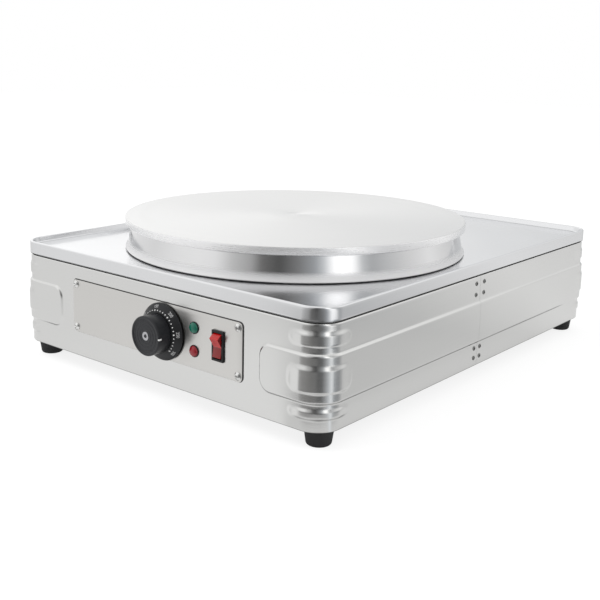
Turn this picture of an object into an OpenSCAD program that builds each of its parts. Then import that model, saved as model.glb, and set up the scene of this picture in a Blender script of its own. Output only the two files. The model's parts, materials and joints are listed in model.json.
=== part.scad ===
// Electric crepe maker: a round turned plate over a pressed sheet-metal housing.
// The origin is the centre of the housing in plan, on the table. The front is -Y.

/* [Housing] */
// Width over the deck's skirt
body_w = 450; // [430:1:520]
// Depth over the deck's skirt
body_d = 570; // [560:1:640]
// Plan radius of the deck's corners
corner_r = 27; // [24:1:32]
// Thickness of the casing sheet
sheet = 1; // [0.8:0.1:1.2]
// Height of the casing's lower edge above the table
foot_h = 18; // [15:1:30]
// Height of the side walls
wall_h = 103.5; // [100:0.5:125]
// How far the walls stand inside the deck's skirt
wall_set = 1; // [0.5:0.1:1.5]
// Bend radius at the walls' upper edge
wall_bend = 2.5; // [2:0.1:3]
// Width of the walls' inward flange at the top
top_flange_w = 24; // [22:1:30]
// Width of the walls' inward flange at the bottom
base_flange_w = 12; // [10:1:14]

/* [Embossing] */
// Height of the raised band round the housing
band_w = 48.2; // [44:0.1:50]
// Distance of the band's middle below the wall's middle
band_drop = 1; // [0:0.1:2]
// How far the band stands proud
band_h = 2; // [1.5:0.1:2.5]
// Width of the sloping edge of every raised form
emboss_edge = 2.6; // [2:0.1:3]
// Gap at the front between the band's two ends
band_open_w = 296.5; // [285:0.5:310]
// Corner radius of the band's ends
band_end_r = 18; // [12:1:20]
// How far the corner pads stand proud
pad_h = 1.2; // [0.8:0.1:1.6]
// Height of the pads above the band
upper_pad_w = 16; // [12:0.5:16]
// Height of the pads below the band
lower_pad_w = 12; // [10:0.5:13]
// Height of the pad on the band
middle_pad_w = 27.5; // [22:0.5:32]
// Gap from the band up to the upper pads
upper_pad_gap = 5.3; // [4.5:0.1:6.5]
// Gap from the band down to the lower pads
lower_pad_gap = 3; // [2.6:0.1:4]
// Reach of the pads along the front and rear, from the end of the corner's arc
pad_reach_x = 15; // [11:1:20]
// Reach of the pads along the sides, from the end of the corner's arc
pad_reach_y = 15; // [11:1:30]

/* [Deck] */
// Height of the deck's outer skirt
skirt_h = 14; // [13:0.5:18]
// Shadow gap between the walls and the skirt
skirt_gap = 1; // [0.6:0.1:1.5]
// Depth of the deck's floor below its rim
deck_recess = 6.5; // [5:0.1:7]
// Width of the raised rim
rim_w = 4; // [3.6:0.1:5]
// Rounding of the rim's outer edge
rim_round = 1.9; // [1.2:0.1:1.9]
// Width of the channel that stiffens the deck's edge
stiffener_w = 18; // [14:1:20]

/* [Cooking plate] */
// Radius of the plate
plate_r = 200; // [190:1:203]
// Distance of the plate's centre in front of the housing's centre
plate_forward = 56; // [45:1:58]
// Height from the plate's lip to its cooking surface
plate_h = 36.5; // [34:0.5:45]
// Clearance between the plate's lip and the deck
lip_gap = 1; // [1:0.1:3]
// Thickness of the plate
plate_t = 12; // [11:0.5:14]
// Height of the plate's upright edge
edge_h = 8.8; // [7:0.1:10]
// Depth of the waist below the edge
waist_depth = 5; // [4:0.5:8]
// Thickness of the plate's side at the waist
plate_wall = 9; // [6:0.5:10]
// Diameter of the turning centre left in the cooking surface
centre_d = 20; // [12:1:30]

/* [Heating] */
// Distance from the plate's side to the outer heating element
element_margin = 36; // [30:1:44]
// Distance from the outer heating element to the inner one
element_spacing = 58; // [52:1:62]
// Diameter of the element tube
element_d = 8.5; // [8:0.1:9]
// Bend radius where the elements turn down
element_bend = 9; // [8:0.5:10]
// Thickness of the clamp plate under the elements
clamp_t = 2; // [1.5:0.5:3]
// Thickness of the insulation
insulation_t = 12; // [6:1:12]
// Gap between the clamp plate's rim and the plate's side
clamp_gap = 11.5; // [8:0.5:16]
// Distance from the outer heating element to the studs' pitch circle
stud_spacing = 28; // [25:1:31]
// Diameter of the plate's studs
stud_d = 8; // [6:1:8]
// Outer diameter of the spacer sleeves on the studs
sleeve_d = 16; // [14:1:18]
// Depth of the bearer channels under the deck
bearer_h = 16; // [14:1:20]
// Width of the bearer channels
bearer_w = 30; // [28:1:36]

/* [Control panel] */
// Width of the panel
panel_w = 257; // [250:0.5:262]
// Height of the panel
panel_h = 60.5; // [60:0.5:66]
// Thickness of the panel
panel_t = 1.2; // [1:0.1:1.5]
// Corner radius of the panel
panel_r = 5.5; // [3:0.5:6]
// Height of the panel's centre above the middle of the wall
panel_rise = 6.5; // [4:0.5:8]
// Distance of the panel's screws from its edges
panel_screw_inset = 6.25; // [5.5:0.25:7]

/* [Thermostat] */
// Distance of the knob from the panel's centre
knob_x = 18.5; // [14:0.5:24]
// Radius of the fixed dial
dial_r = 30; // [28:0.5:30]
// Thickness of the fixed dial at its rim
dial_rim_t = 2.5; // [2:0.5:3]
// Height of the fixed dial under the knob
dial_t = 8; // [7:0.5:9]
// Width of the level ring of the dial round the knob
dial_ring_w = 1.8; // [1.2:0.1:2.5]
// Radius of the knob
knob_r = 20.5; // [18:0.5:22]
// Length of the knob
knob_l = 16.3; // [15:0.1:24]
// Gap between the knob and the dial
knob_gap = 0.5; // [0.4:0.1:1]
// Diameter of the thermostat's spindle
spindle_d = 6; // [5:0.5:6]
// Diameter of the thermostat's threaded neck
neck_d = 10; // [9:0.5:11]
// Width and height of the thermostat's case
thermostat_w = 42; // [38:1:44]
// Depth of the thermostat's case
thermostat_l = 34; // [30:1:40]

/* [Lamps and switch] */
// Distance of the lamps from the panel's centre
lamp_x = 63.2; // [60:0.1:66]
// Height of each lamp above or below the panel's centre
lamp_z = 12; // [10:0.5:14]
// Diameter of the lamps' lenses
lens_d = 12.5; // [11.5:0.5:14]
// Diameter of the lamps' bodies
lamp_d = 10; // [9:0.5:10.5]
// Distance of the switch from the panel's centre
switch_x = 96.4; // [92:0.1:100]
// Width of the switch's bezel
bezel_w = 15.6; // [15:0.1:17]
// Height of the switch's bezel
bezel_h = 31; // [30.5:0.5:33]
// How far the bezel stands off the panel
bezel_t = 2; // [1.5:0.1:2.5]
// Radius of the rocker's ends about its pivot
rocker_r = 13; // [12.5:0.1:13]
// Tilt of the rocker to each side of the middle
rocker_tilt = 12; // [8:0.5:13]

/* [Feet] */
// Distance of the feet from the sides
foot_inset_x = 22; // [21:1:30]
// Distance of the feet from the front and rear
foot_inset_y = 24; // [22:1:34]
// Diameter of a foot at its top
foot_top_d = 30; // [28:1:34]
// Diameter of a foot at the table
foot_low_d = 25; // [22:1:28]

/* [Rear fittings] */
// Distance of the cable gland from the right side
gland_inset = 75; // [62:1:100]
// Bore of the cable gland
gland_bore = 8.5; // [7:0.5:9]
// How far the gland stands out from the housing
gland_reach = 24; // [20:1:30]
// Distance from the gland to the earth stud
earth_offset = 40; // [32:1:50]
// Diameter of the earth stud
earth_d = 6; // [5:1:6]

/* [Hidden] */
$fn = 64;
over = 1;               // how far a cutting solid runs past a face
fit = 0.05;             // radial clearance of a shaft or screw in its hole
touch = 0.2;            // gap between pieces that are clamped together
steel = "gainsboro";
dark = "dimgray";

// Radii under the plate
cavity_r = plate_r - waist_depth - plate_wall;
clamp_r = cavity_r - clamp_gap;
outer_element_r = cavity_r - element_margin;
inner_element_r = outer_element_r - element_spacing;
stud_pcr = outer_element_r - stud_spacing;

// Levels
z_wall_top = foot_h + wall_h;
z_wall_mid = foot_h + wall_h / 2;
z_skirt = z_wall_top + skirt_gap;
z_rim = z_skirt + skirt_h;
z_deck = z_rim - deck_recess;
z_deck_under = z_deck - sheet;
z_lip = z_deck + lip_gap;
z_plate = z_lip + plate_h;
z_ceiling = z_plate - plate_t;
z_element = z_ceiling - touch - element_d / 2;
z_clamp = z_element - element_d / 2 - clamp_t;

// Walls
half_w = body_w / 2 - wall_set;
half_d = body_d / 2 - wall_set;
wall_r = corner_r - wall_set;
arc_x = half_w - wall_r;
arc_y = half_d - wall_r;
seam_y = -6;
seam_cut = 0.1;         // half of the hairline gap between the two shells

// Embossing
band_z = z_wall_mid - band_drop;
band_low = band_z - band_w / 2;
band_high = band_z + band_w / 2;
upper_pad_z = band_high + upper_pad_gap + upper_pad_w / 2;
lower_pad_z = band_low - lower_pad_gap - lower_pad_w / 2;

// Panel and its fittings
panel_z = z_wall_mid + panel_rise;
panel_y = -half_d - panel_t;
knob_z = panel_z - 0.75;
switch_z = panel_z + 0.5;
panel_screw_d = 4;
knob_back_y = panel_y - dial_t - knob_gap;
knob_front_y = knob_back_y - knob_l;
thermostat_y = -half_d + sheet + 4;     // front of the thermostat's case
spindle_root_y = thermostat_y + 11.5;
spindle_end_y = knob_front_y + 7;
capillary_d = 2;
bulb_d = 6;
bulb_bend = 8;
dial_floor_t = 1.5;     // thickness of the dial under the neck's nut
neck_nut_h = 4;
bulb_chord = inner_element_r + 14;      // distance of the bulb from the plate's centre
bulb_y = -plate_forward - bulb_chord;
bulb_l = sqrt(pow(outer_element_r - element_d / 2 - 6, 2) - pow(bulb_chord, 2)) - knob_x - bulb_bend;
bulb_z = z_ceiling - touch - bulb_d / 2;

// Rocker
pivot_depth = 5;        // of the rocker's pivot behind the bezel's face
pivot_y = panel_y - bezel_t + pivot_depth;
pivot_d = 2.4;
pocket_w = bezel_w - 4;
rocker_w = pocket_w - 0.6;
pocket_r = rocker_r + 0.3;
switch_body_w = bezel_w - 1.6;
switch_body_h = bezel_h - 2.6;
switch_body_l = 22;

// Elements' ends: the side of the plate they come down at, as an angle from +X, and their lengths
leg_side = 180;
leg_drop = 14;
pin_d = 3.5;
pin_l = 12;

// Studs, screws and rivets
stud_angles = [45, 135, 225, 315];
foot_x = body_w / 2 - foot_inset_x;
foot_y = body_d / 2 - foot_inset_y;
foot_screw_d = 5;
foot_head_h = 3;
foot_nut_w = 8;
foot_nut_h = 4;
deck_screw_d = 4;
base_screw_d = 4;
screw_head_h = 2.4;
panel_head_d = 8.4;
panel_head_h = 2.6;
rivet_d = 3.2;
rivet_head_d = 5.2;
rivet_head_h = 1;
rivet_tail_d = 4.8;
rivet_tail_t = 1.4;
rivet_rise = 10;        // lowest rivets above the wall's lower edge
rivet_drop = 8.5;       // highest rivets below the wall's upper edge
rivet_row_low = 11;
rivet_row_top = 12.5;
rivet_half_low = 6.3;   // distance of the rivets from the seam
rivet_half_top = 8.5;
strap_w = 34;
strap_t = 1.2;

// ---------- shared shapes ----------

module rounded_rect(w, d, r) {
    square([w - 2 * r, d], center = true);
    square([w, d - 2 * r], center = true);
    for (x = [-1, 1], y = [-1, 1]) translate([x * (w / 2 - r), y * (d / 2 - r)]) circle(r);
}

// Prism with rounded corners, from height z0 to height z1
module slab(w, d, r, z0, z1) {
    translate([0, 0, z0]) linear_extrude(z1 - z0) rounded_rect(w, d, r);
}

// Sweeps a profile round a rectangle: the profile's x runs outward from the corners' centres
module sweep_round(cx, cy) {
    for (mx = [0, 1], my = [0, 1]) mirror([mx, 0, 0]) mirror([0, my, 0])
        translate([cx, cy, 0]) rotate_extrude(angle = 90) children();
    for (mx = [0, 1]) mirror([mx, 0, 0]) translate([cx, cy, 0])
        rotate([90, 0, 0]) linear_extrude(2 * cy) children();
    for (my = [0, 1]) mirror([0, my, 0]) translate([-cx, cy, 0])
        rotate([90, 0, 90]) linear_extrude(2 * cx) children();
}

// Cross-section of a solid edge with its upper corner rounded
module round_edge(r, z0, z1, bend) {
    translate([0, z0]) square([r - bend, z1 - z0]);
    translate([0, z0]) square([r, z1 - z0 - bend]);
    translate([r - bend, z1 - bend]) circle(bend, $fn = 32);
}

// Solid tray form with a rounded upper edge
module round_block(w, d, r, z0, z1, bend) {
    slab(w - 2 * r, d - 2 * r, 1, z0, z1);
    sweep_round(w / 2 - r, d / 2 - r) round_edge(r, z0, z1, bend);
    translate([-w / 2 + r, -d / 2 + r, z0]) cube([w - 2 * r, d - 2 * r, z1 - z0]);
}

// Raised form on a wall that faces -Y, centred on the origin
module raised_pad(w, tall, h, r) {
    top_r = r - emboss_edge;
    for (x = [-1, 1], z = [-1, 1]) translate([x * (w / 2 - r), 0, z * (tall / 2 - r)])
        rotate([90, 0, 0]) {
            translate([0, 0, -sheet / 4]) cylinder(r = r, h = sheet / 4);
            cylinder(r1 = r, r2 = top_r, h = h);
        }
    translate([-w / 2 + r, 0, 0]) rotate([90, 0, 90]) linear_extrude(w - 2 * r) pad_section(tall, h);
    if (tall > 2 * r) translate([0, 0, -tall / 2 + r])
        linear_extrude(tall - 2 * r) rotate(90) pad_section(w, h);
}

// Cross-section of a raised form: its foot lies on x = 0 and it rises towards -x
module pad_section(tall, h) {
    polygon([
        [sheet / 4, -tall / 2], [0, -tall / 2], [-h, -tall / 2 + emboss_edge],
        [-h, tall / 2 - emboss_edge], [0, tall / 2], [sheet / 4, tall / 2]
    ]);
}

// Cross-section of a belt for sweep_round: x runs outward from the corners' centres
module belt_section(r, tall, h) {
    translate([0, -tall / 2]) square([r, tall]);
    translate([r, 0]) mirror([1, 0]) pad_section(tall, h);
}

// Pad that wraps one vertical corner, with a rounded end on each wall
module corner_pad(z, tall, base, h, end_r, inset) {
    r = wall_r + base - inset;
    translate([arc_x, -arc_y, z]) {
        rotate([0, 0, -90]) rotate_extrude(angle = 90) belt_section(r, tall, h);
        half_pad(r, pad_reach_x, tall, h, end_r);
        rotate([0, 0, 90]) mirror([1, 0, 0]) half_pad(r, pad_reach_y, tall, h, end_r);
    }
}

// The part of a raised form that runs from a corner's centre line towards -X
module half_pad(r, reach, tall, h, end_r) {
    intersection() {
        translate([0, -r, 0]) raised_pad(2 * reach, tall, h, end_r);
        translate([-reach - over, -r - h - over, -tall]) cube([reach + over, h + 2 * over, 2 * tall]);
    }
}

// All the raised forms of one skin of the walls
module embossing(inset) {
    translate([0, 0, band_z]) {
        belt_corners() belt_section(wall_r - inset, band_w, band_h);
        for (mx = [0, 1]) mirror([mx, 0, 0]) {
            translate([arc_x, arc_y, 0]) rotate([90, 0, 0])
                linear_extrude(2 * arc_y) belt_section(wall_r - inset, band_w, band_h);
            translate([arc_x, -arc_y, 0])
                half_pad(wall_r - inset, arc_x - band_open_w / 2, band_w, band_h, band_end_r);
        }
        translate([-arc_x, arc_y, 0]) rotate([90, 0, 90])
            linear_extrude(2 * arc_x) belt_section(wall_r - inset, band_w, band_h);
    }
    for (mx = [0, 1], my = [0, 1]) mirror([mx, 0, 0]) mirror([0, my, 0]) {
        corner_pad(upper_pad_z, upper_pad_w, 0, pad_h, upper_pad_w / 2, inset);
        corner_pad(band_z, middle_pad_w, band_h, pad_h, 10, inset);
        corner_pad(lower_pad_z, lower_pad_w, 0, pad_h, lower_pad_w / 2, inset);
    }
}

module belt_corners() {
    for (mx = [0, 1], my = [0, 1]) mirror([mx, 0, 0]) mirror([0, my, 0])
        translate([arc_x, arc_y, 0]) rotate_extrude(angle = 90) children();
}

// One of the walls' two skins: the outer one at inset 0, the inner one at the sheet's thickness
module wall_skin(inset, z0, z1) {
    w = 2 * (half_w - inset);
    d = 2 * (half_d - inset);
    round_block(w, d, wall_r - inset, z0, z1, wall_bend - inset);
    embossing(inset);
}

// The whole casing wall before it is cut into its two shells
module casing() {
    difference() {
        wall_skin(0, foot_h, z_wall_top);
        wall_skin(sheet, foot_h + 2 * sheet, z_wall_top - sheet);
        inner_prism(sheet, foot_h - over, foot_h + sheet);
        inner_prism(base_flange_w, foot_h - over, foot_h + 3 * sheet);
        inner_prism(top_flange_w, z_wall_top - 2 * sheet, z_wall_top + over);
        seam_rivet_places() cylinder(d = rivet_d + 2 * fit, h = 4 * sheet + 4, center = true);
        foot_screw_free();
        deck_screw_places() cylinder(d = deck_screw_d + 2 * fit, h = 6, center = true);
        base_screw_places() cylinder(d = base_screw_d + 2 * fit, h = 8, center = true);
    }
}

// Prism inset from the walls' outer face
module inner_prism(inset, z0, z1) {
    slab(2 * (half_w - inset), 2 * (half_d - inset), max(wall_r - inset, 3), z0, z1);
}

// Keeps the bottom flange clear of the foot screws' nuts
module foot_screw_free() {
    for (x = [-1, 1], y = [-1, 1]) translate([x * foot_x, y * foot_y, foot_h + sheet])
        cylinder(d = 14, h = 3);
}

// ---------- places of repeated fasteners ----------

module seam_rivet_places() {
    for (side = [-1, 1], row = [0, 1], y = [-1, 1]) {
        translate([side * half_w, seam_y + y * rivet_half_low, foot_h + rivet_rise + row * rivet_row_low])
            rotate([0, side * 90, 0]) children();
        translate([side * half_w, seam_y + y * rivet_half_top, z_wall_top - rivet_drop - row * rivet_row_top])
            rotate([0, side * 90, 0]) children();
    }
}

module foot_places() {
    for (x = [-1, 1], y = [-1, 1]) translate([x * foot_x, y * foot_y, 0]) children();
}

module deck_screw_places() {
    run = half_d - deck_screw_run;
    for (x = [-1, 1], y = [-1, 0, 1]) translate([x * deck_screw_x, y * run, z_wall_top]) children();
    for (y = [-1, 1]) translate([0, y * deck_screw_y, z_wall_top]) children();
}
deck_screw_run = 90;                                // from the front and rear to the side screws
stiffener_out = sheet + 0.5 + wall_set;             // inset of the stiffener from the skirt
deck_screw_x = body_w / 2 - stiffener_out - stiffener_w / 2;
deck_screw_y = body_d / 2 - stiffener_out - stiffener_w / 2;

base_screw_run = 105;       // distance of the base's screws from the corners

module base_screw_places() {
    inset = wall_set + base_flange_w - 5;
    for (x = [-1, 1], y = [-1, 1]) {
        translate([x * (body_w / 2 - inset), y * (half_d - base_screw_run), foot_h]) children();
        translate([x * (half_w - base_screw_run), y * (body_d / 2 - inset), foot_h]) children();
    }
}

module panel_screw_places() {
    x0 = panel_w / 2 - panel_screw_inset;
    z0 = panel_h / 2 - panel_screw_inset;
    for (x = [-x0, x0], z = [-z0, z0]) translate([x, panel_y, panel_z + z]) rotate([90, 0, 0]) children();
}

module stud_places() {
    translate([0, -plate_forward, 0]) for (a = stud_angles) rotate(a) translate([stud_pcr, 0, 0]) children();
}

module lamp_place(side) {
    translate([lamp_x, panel_y, panel_z + side * lamp_z]) rotate([90, 0, 0]) children();
}

module knob_place(y) {
    translate([knob_x, y, knob_z]) rotate([90, 0, 0]) children();
}

// Openings that the panel and the wall behind it share
module panel_openings() {
    knob_place(-half_d + 2 * sheet) cylinder(d = neck_d + 2 * fit, h = 10);
    for (side = [-1, 1]) translate([0, 5, 0]) lamp_place(side) cylinder(d = lamp_d + 2 * fit, h = 10);
    translate([switch_x - (switch_body_w + 0.2) / 2, -half_d - 5, switch_z - (switch_body_h + 0.2) / 2])
        cube([switch_body_w + 0.2, 10, switch_body_h + 0.2]);
    panel_screw_places() cylinder(d = panel_screw_d - 0.8 + 2 * fit, h = 12, center = true);
}

module hex_nut(width, h, bore) {
    difference() {
        cylinder(d = width / cos(30), h = h, $fn = 6);
        translate([0, 0, -over]) cylinder(d = bore, h = h + 2 * over);
    }
}

// Pan head with a cross recess, its underside on z = 0, rising to +Z
module pan_head(d, h) {
    difference() {
        intersection() {
            cylinder(d = d, h = h);
            translate([0, 0, h - head_sphere(d, h)]) sphere(head_sphere(d, h), $fn = 48);
        }
        for (a = [0, 90]) rotate(a) translate([-d * 0.26, -d * 0.055, h * 0.45])
            cube([d * 0.52, d * 0.11, h]);
    }
}
function head_sphere(d, h) = (d * d / 4 + h * h * 0.64) / (1.6 * h);

// Low dome on z = 0, as wide as d and as high as h
module dome(d, h) {
    ball = (d * d / 4 + h * h) / (2 * h);
    intersection() {
        cylinder(d = d, h = h);
        translate([0, 0, h - ball]) sphere(ball, $fn = 48);
    }
}

// ---------- cooking plate and heating ----------

// Profile of the plate's outer side, from the lip up to the edge
module plate_profile() {
    waist_r = plate_r - waist_depth;
    waist_high = z_plate - edge_h;
    foot_w = 1.6;                                   // rounding of the bulge down to the lip
    foot_rise = 3;
    flare = 7;                                      // height over which the bulge runs into the waist
    cove_w = 3.6;                                   // rounding from the waist out under the edge
    cove_rise = 7;
    edge_round = 1.2;
    steps = 12;
    under = [for (i = [0:steps]) let (a = -90 + 90 * i / steps)
        [plate_r - foot_w + foot_w * cos(a), z_lip + foot_rise + foot_rise * sin(a)]];
    wave = [for (i = [1:steps]) let (t = i / steps)
        [plate_r - waist_depth * (1 - cos(180 * t)) / 2, z_lip + foot_rise + flare * t]];
    cove = [for (i = [0:steps]) let (a = 90 * i / steps)
        [waist_r + cove_w * (1 - cos(a)), waist_high - cove_rise * (1 - sin(a))]];
    top = [[plate_r - edge_round, waist_high], [plate_r, waist_high + 0.8], [plate_r, z_plate - edge_round],
        [plate_r - edge_round, z_plate], [0, z_plate]];
    corner = 6;                                     // fillet between the plate and its side
    polygon(concat(
        [[cavity_r + 3, z_lip]], under, wave, cove, top,
        [[0, z_ceiling], [cavity_r - corner, z_ceiling], [cavity_r, z_ceiling - corner]]
    ));
}

module cooking_plate() {
    color("whitesmoke") difference() {
        translate([0, -plate_forward, 0]) rotate_extrude($fn = 180) plate_profile();
        translate([0, -plate_forward, z_plate - 0.3]) cylinder(d = centre_d, h = over);
        translate([0, 0, z_ceiling - over]) stud_places()
            cylinder(d = stud_d + 2 * fit, h = stud_grip + 1 + over);
    }
}

module heating_element(r) {
    legs_angle = asin(2 * element_bend / r);
    cold_d = element_d - 0.6;       // the ends that stay cool are a little thinner
    lap = 3;                        // how far a cold end runs into the ring
    leg_end = z_deck_under - leg_drop;
    color(dark) translate([0, -plate_forward, z_element]) {
        rotate(leg_side + legs_angle) rotate_extrude(angle = 360 - 2 * legs_angle) translate([r, 0])
            circle(d = element_d, $fn = 32);
        for (side = [0, 1]) mirror([0, side, 0]) rotate(leg_side - legs_angle) translate([r, 0, 0]) {
            translate([0, -lap, 0]) rotate([-90, 0, 0]) cylinder(d = cold_d, h = lap, $fn = 32);
            translate([0, 0, -element_bend]) rotate([0, -90, 0]) rotate_extrude(angle = 90)
                translate([element_bend, 0]) circle(d = cold_d, $fn = 32);
            translate([0, element_bend, leg_end - z_element]) {
                cylinder(d = cold_d, h = z_element - element_bend - leg_end, $fn = 32);
                translate([0, 0, -pin_l]) cylinder(d = pin_d, h = pin_l, $fn = 32);
            }
        }
    }
}

module outer_heating_element() { heating_element(outer_element_r); }

module inner_heating_element() { heating_element(inner_element_r); }

// Round holes over the elements' legs
module leg_holes(d, z0, z1) {
    for (r = [inner_element_r, outer_element_r]) let (a = asin(2 * element_bend / r))
        translate([0, -plate_forward, z0]) for (side = [0, 1]) mirror([0, side, 0])
            rotate(leg_side - a) translate([r, element_bend, 0]) cylinder(d = d, h = z1 - z0);
}

module element_clamp_plate() {
    color("silver") difference() {
        translate([0, -plate_forward, z_clamp]) cylinder(r = clamp_r, h = clamp_t);
        translate([0, 0, z_clamp - over]) stud_places() cylinder(d = stud_d + 0.4, h = clamp_t + 2 * over);
        leg_holes(element_d + 10, z_clamp - over, z_clamp + clamp_t + over);
        translate([knob_x, bulb_y, z_clamp - over]) cylinder(d = 6, h = clamp_t + 2 * over);
    }
}
module insulation_pad() {
    color("ivory") difference() {
        translate([0, -plate_forward, z_deck]) cylinder(r = clamp_r, h = insulation_t);
        translate([0, 0, z_deck - over]) stud_places()
            cylinder(d = sleeve_d + 1, h = insulation_t + 2 * over);
        leg_holes(element_d + 4, z_deck - over, z_deck + insulation_t + over);
        translate([knob_x, bulb_y, z_deck - over]) cylinder(d = 6, h = insulation_t + 2 * over);
    }
}

// Lower ends of the studs, under the bearers' nuts
bearer_t = 1.5;
bearer_clear = 5;       // from the bearers' ends to the walls' top flange
z_bearer_web = z_deck_under - bearer_t;
nut_h = 6.5;
washer_t = 1.6;
z_stud_low = z_bearer_web - washer_t - nut_h - 2;
stud_grip = plate_t - 4;                // how far the studs reach into the plate

module plate_studs() {
    color("silver") stud_places() translate([0, 0, z_stud_low])
        cylinder(d = stud_d, h = z_ceiling + stud_grip - z_stud_low);
}

module stud_sleeves() {
    color("silver") stud_places() translate([0, 0, z_deck]) difference() {
        cylinder(d = sleeve_d, h = z_clamp - z_deck);
        translate([0, 0, -over]) cylinder(d = stud_d + 0.4, h = z_clamp - z_deck + 2 * over);
    }
}

module stud_nuts() {
    color("silver") stud_places() translate([0, 0, z_bearer_web - washer_t]) {
        difference() {
            cylinder(d = 2 * stud_d, h = washer_t);
            translate([0, 0, -over]) cylinder(d = stud_d + 2 * fit, h = washer_t + 2 * over);
        }
        translate([0, 0, -nut_h]) hex_nut(1.6 * stud_d, nut_h, stud_d + 2 * fit);
    }
}

// A sensing bulb under the plate, on a thin tube from the thermostat
module thermostat_capillary() {
    tube_z = knob_z + 14;
    tube_end = thermostat_y + thermostat_l;
    color("goldenrod") {
        translate([knob_x + bulb_bend, bulb_y, bulb_z]) rotate([0, 90, 0]) cylinder(d = bulb_d, h = bulb_l);
        translate([knob_x + bulb_bend, bulb_y, bulb_z - bulb_bend]) rotate([90, 0, 0])
            rotate([0, 0, 90]) rotate_extrude(angle = 90) translate([bulb_bend, 0])
                circle(d = capillary_d, $fn = 24);
        translate([knob_x, bulb_y, tube_z + bulb_bend])
            cylinder(d = capillary_d, h = bulb_z - tube_z - 2 * bulb_bend, $fn = 24);
        translate([knob_x, bulb_y - bulb_bend, tube_z + bulb_bend]) rotate([0, 90, 0])
            rotate_extrude(angle = 90) translate([bulb_bend, 0]) circle(d = capillary_d, $fn = 24);
        translate([knob_x, bulb_y - bulb_bend, tube_z]) rotate([90, 0, 0])
            cylinder(d = capillary_d, h = bulb_y - bulb_bend - tube_end, $fn = 24);
    }
}

// ---------- deck ----------

// Prism inset from the deck's skirt
module deck_slab(inset, z0, z1) {
    slab(body_w - 2 * inset, body_d - 2 * inset, corner_r - inset, z0, z1);
}

module deck_cover() {
    color(steel) difference() {
        round_block(body_w, body_d, corner_r, z_skirt, z_rim, rim_round);
        deck_slab(rim_w, z_deck, z_rim + over);
        deck_slab(sheet, z_skirt - over, z_deck_under);
        // The rim is folded from sheet, so it is hollow
        difference() {
            deck_slab(sheet, z_deck_under - over, z_rim - rim_round);
            deck_slab(rim_w - sheet, z_deck_under - 2 * over, z_rim);
        }
        stud_places() translate([0, 0, z_deck_under - over])
            cylinder(d = stud_d + 0.4, h = sheet + 2 * over);
        leg_holes(element_d + 4, z_deck_under - over, z_deck + over);
        translate([knob_x, bulb_y, z_deck_under - over]) cylinder(d = 6, h = sheet + 2 * over);
    }
}

// Downward channel that runs round under the deck and stands on the walls' top flange
module deck_stiffener() {
    t = 1.2;
    out = stiffener_out;
    in = stiffener_out + stiffener_w;
    color("silver") difference() {
        deck_slab(out, z_wall_top, z_deck_under);
        deck_slab(in, z_wall_top - over, z_deck_under + over);
        difference() {
            deck_slab(out + t, z_wall_top - over, z_deck_under - t);
            deck_slab(in - t, z_wall_top - 2 * over, z_deck_under);
        }
        deck_screw_places() cylinder(d = deck_screw_d + 2 * fit, h = 2 * (z_deck_under - z_wall_top) - 1,
            center = true);
    }
}

// Channel across the housing that takes the plate's studs
module plate_bearer(y) {
    reach = half_w - top_flange_w - bearer_clear;
    low = z_deck_under - bearer_h;
    color("silver") difference() {
        translate([-reach, y - bearer_w / 2, low]) cube([2 * reach, bearer_w, bearer_h]);
        translate([-reach - over, y - bearer_w / 2 + bearer_t, low - over])
            cube([2 * (reach + over), bearer_w - 2 * bearer_t, bearer_h - bearer_t + over]);
        stud_places() translate([0, 0, z_bearer_web - over])
            cylinder(d = stud_d + 0.4, h = bearer_t + 2 * over);
    }
}
bearer_y = stud_pcr * sin(45);

module front_plate_bearer() { plate_bearer(-plate_forward - bearer_y); }

module rear_plate_bearer() { plate_bearer(-plate_forward + bearer_y); }

module deck_screws() {
    color("silver") deck_screw_places() translate([0, 0, -sheet]) mirror([0, 0, 1]) {
        pan_head(2 * deck_screw_d, screw_head_h);
        translate([0, 0, -(z_deck_under - z_wall_top - 0.8 + sheet)])
            cylinder(d = deck_screw_d, h = z_deck_under - z_wall_top - 0.8 + sheet);
    }
}

// ---------- shells ----------

module half_space(side) {
    wide = body_w + 2 * (band_h + pad_h + over);
    translate([-wide / 2, side > 0 ? seam_y + seam_cut : -body_d, 0])
        cube([wide, side > 0 ? body_d : body_d + seam_y - seam_cut, z_rim]);
}

module front_shell() {
    color(steel) difference() {
        intersection() { casing(); half_space(-1); }
        panel_openings();
    }
}

module rear_shell() {
    color(steel) difference() {
        intersection() { casing(); half_space(1); }
        rear_place(gland_x) cylinder(d = gland_thread_d + 2 * fit, h = 12, center = true);
        rear_place(gland_x - earth_offset) cylinder(d = earth_d + 2 * fit, h = 12, center = true);
    }
}

module seam_strap(side) {
    x = half_w - sheet - strap_t;
    margin = 3;
    color("silver") difference() {
        translate([side > 0 ? x : -x - strap_t, seam_y - strap_w / 2, foot_h + 2 * sheet + margin])
            cube([strap_t, strap_w, wall_h - 3 * sheet - 2 * margin]);
        seam_rivet_places() cylinder(d = rivet_d + 2 * fit, h = 4 * sheet + 4, center = true);
    }
}

module left_seam_strap() { seam_strap(-1); }

module right_seam_strap() { seam_strap(1); }

module seam_rivets() {
    grip = sheet + strap_t;
    color("lightgray") seam_rivet_places() {
        dome(rivet_head_d, rivet_head_h);
        translate([0, 0, -grip]) cylinder(d = rivet_d, h = grip);
        translate([0, 0, -grip - rivet_tail_t]) cylinder(d = rivet_tail_d, h = rivet_tail_t);
    }
}

// ---------- base and feet ----------

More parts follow.
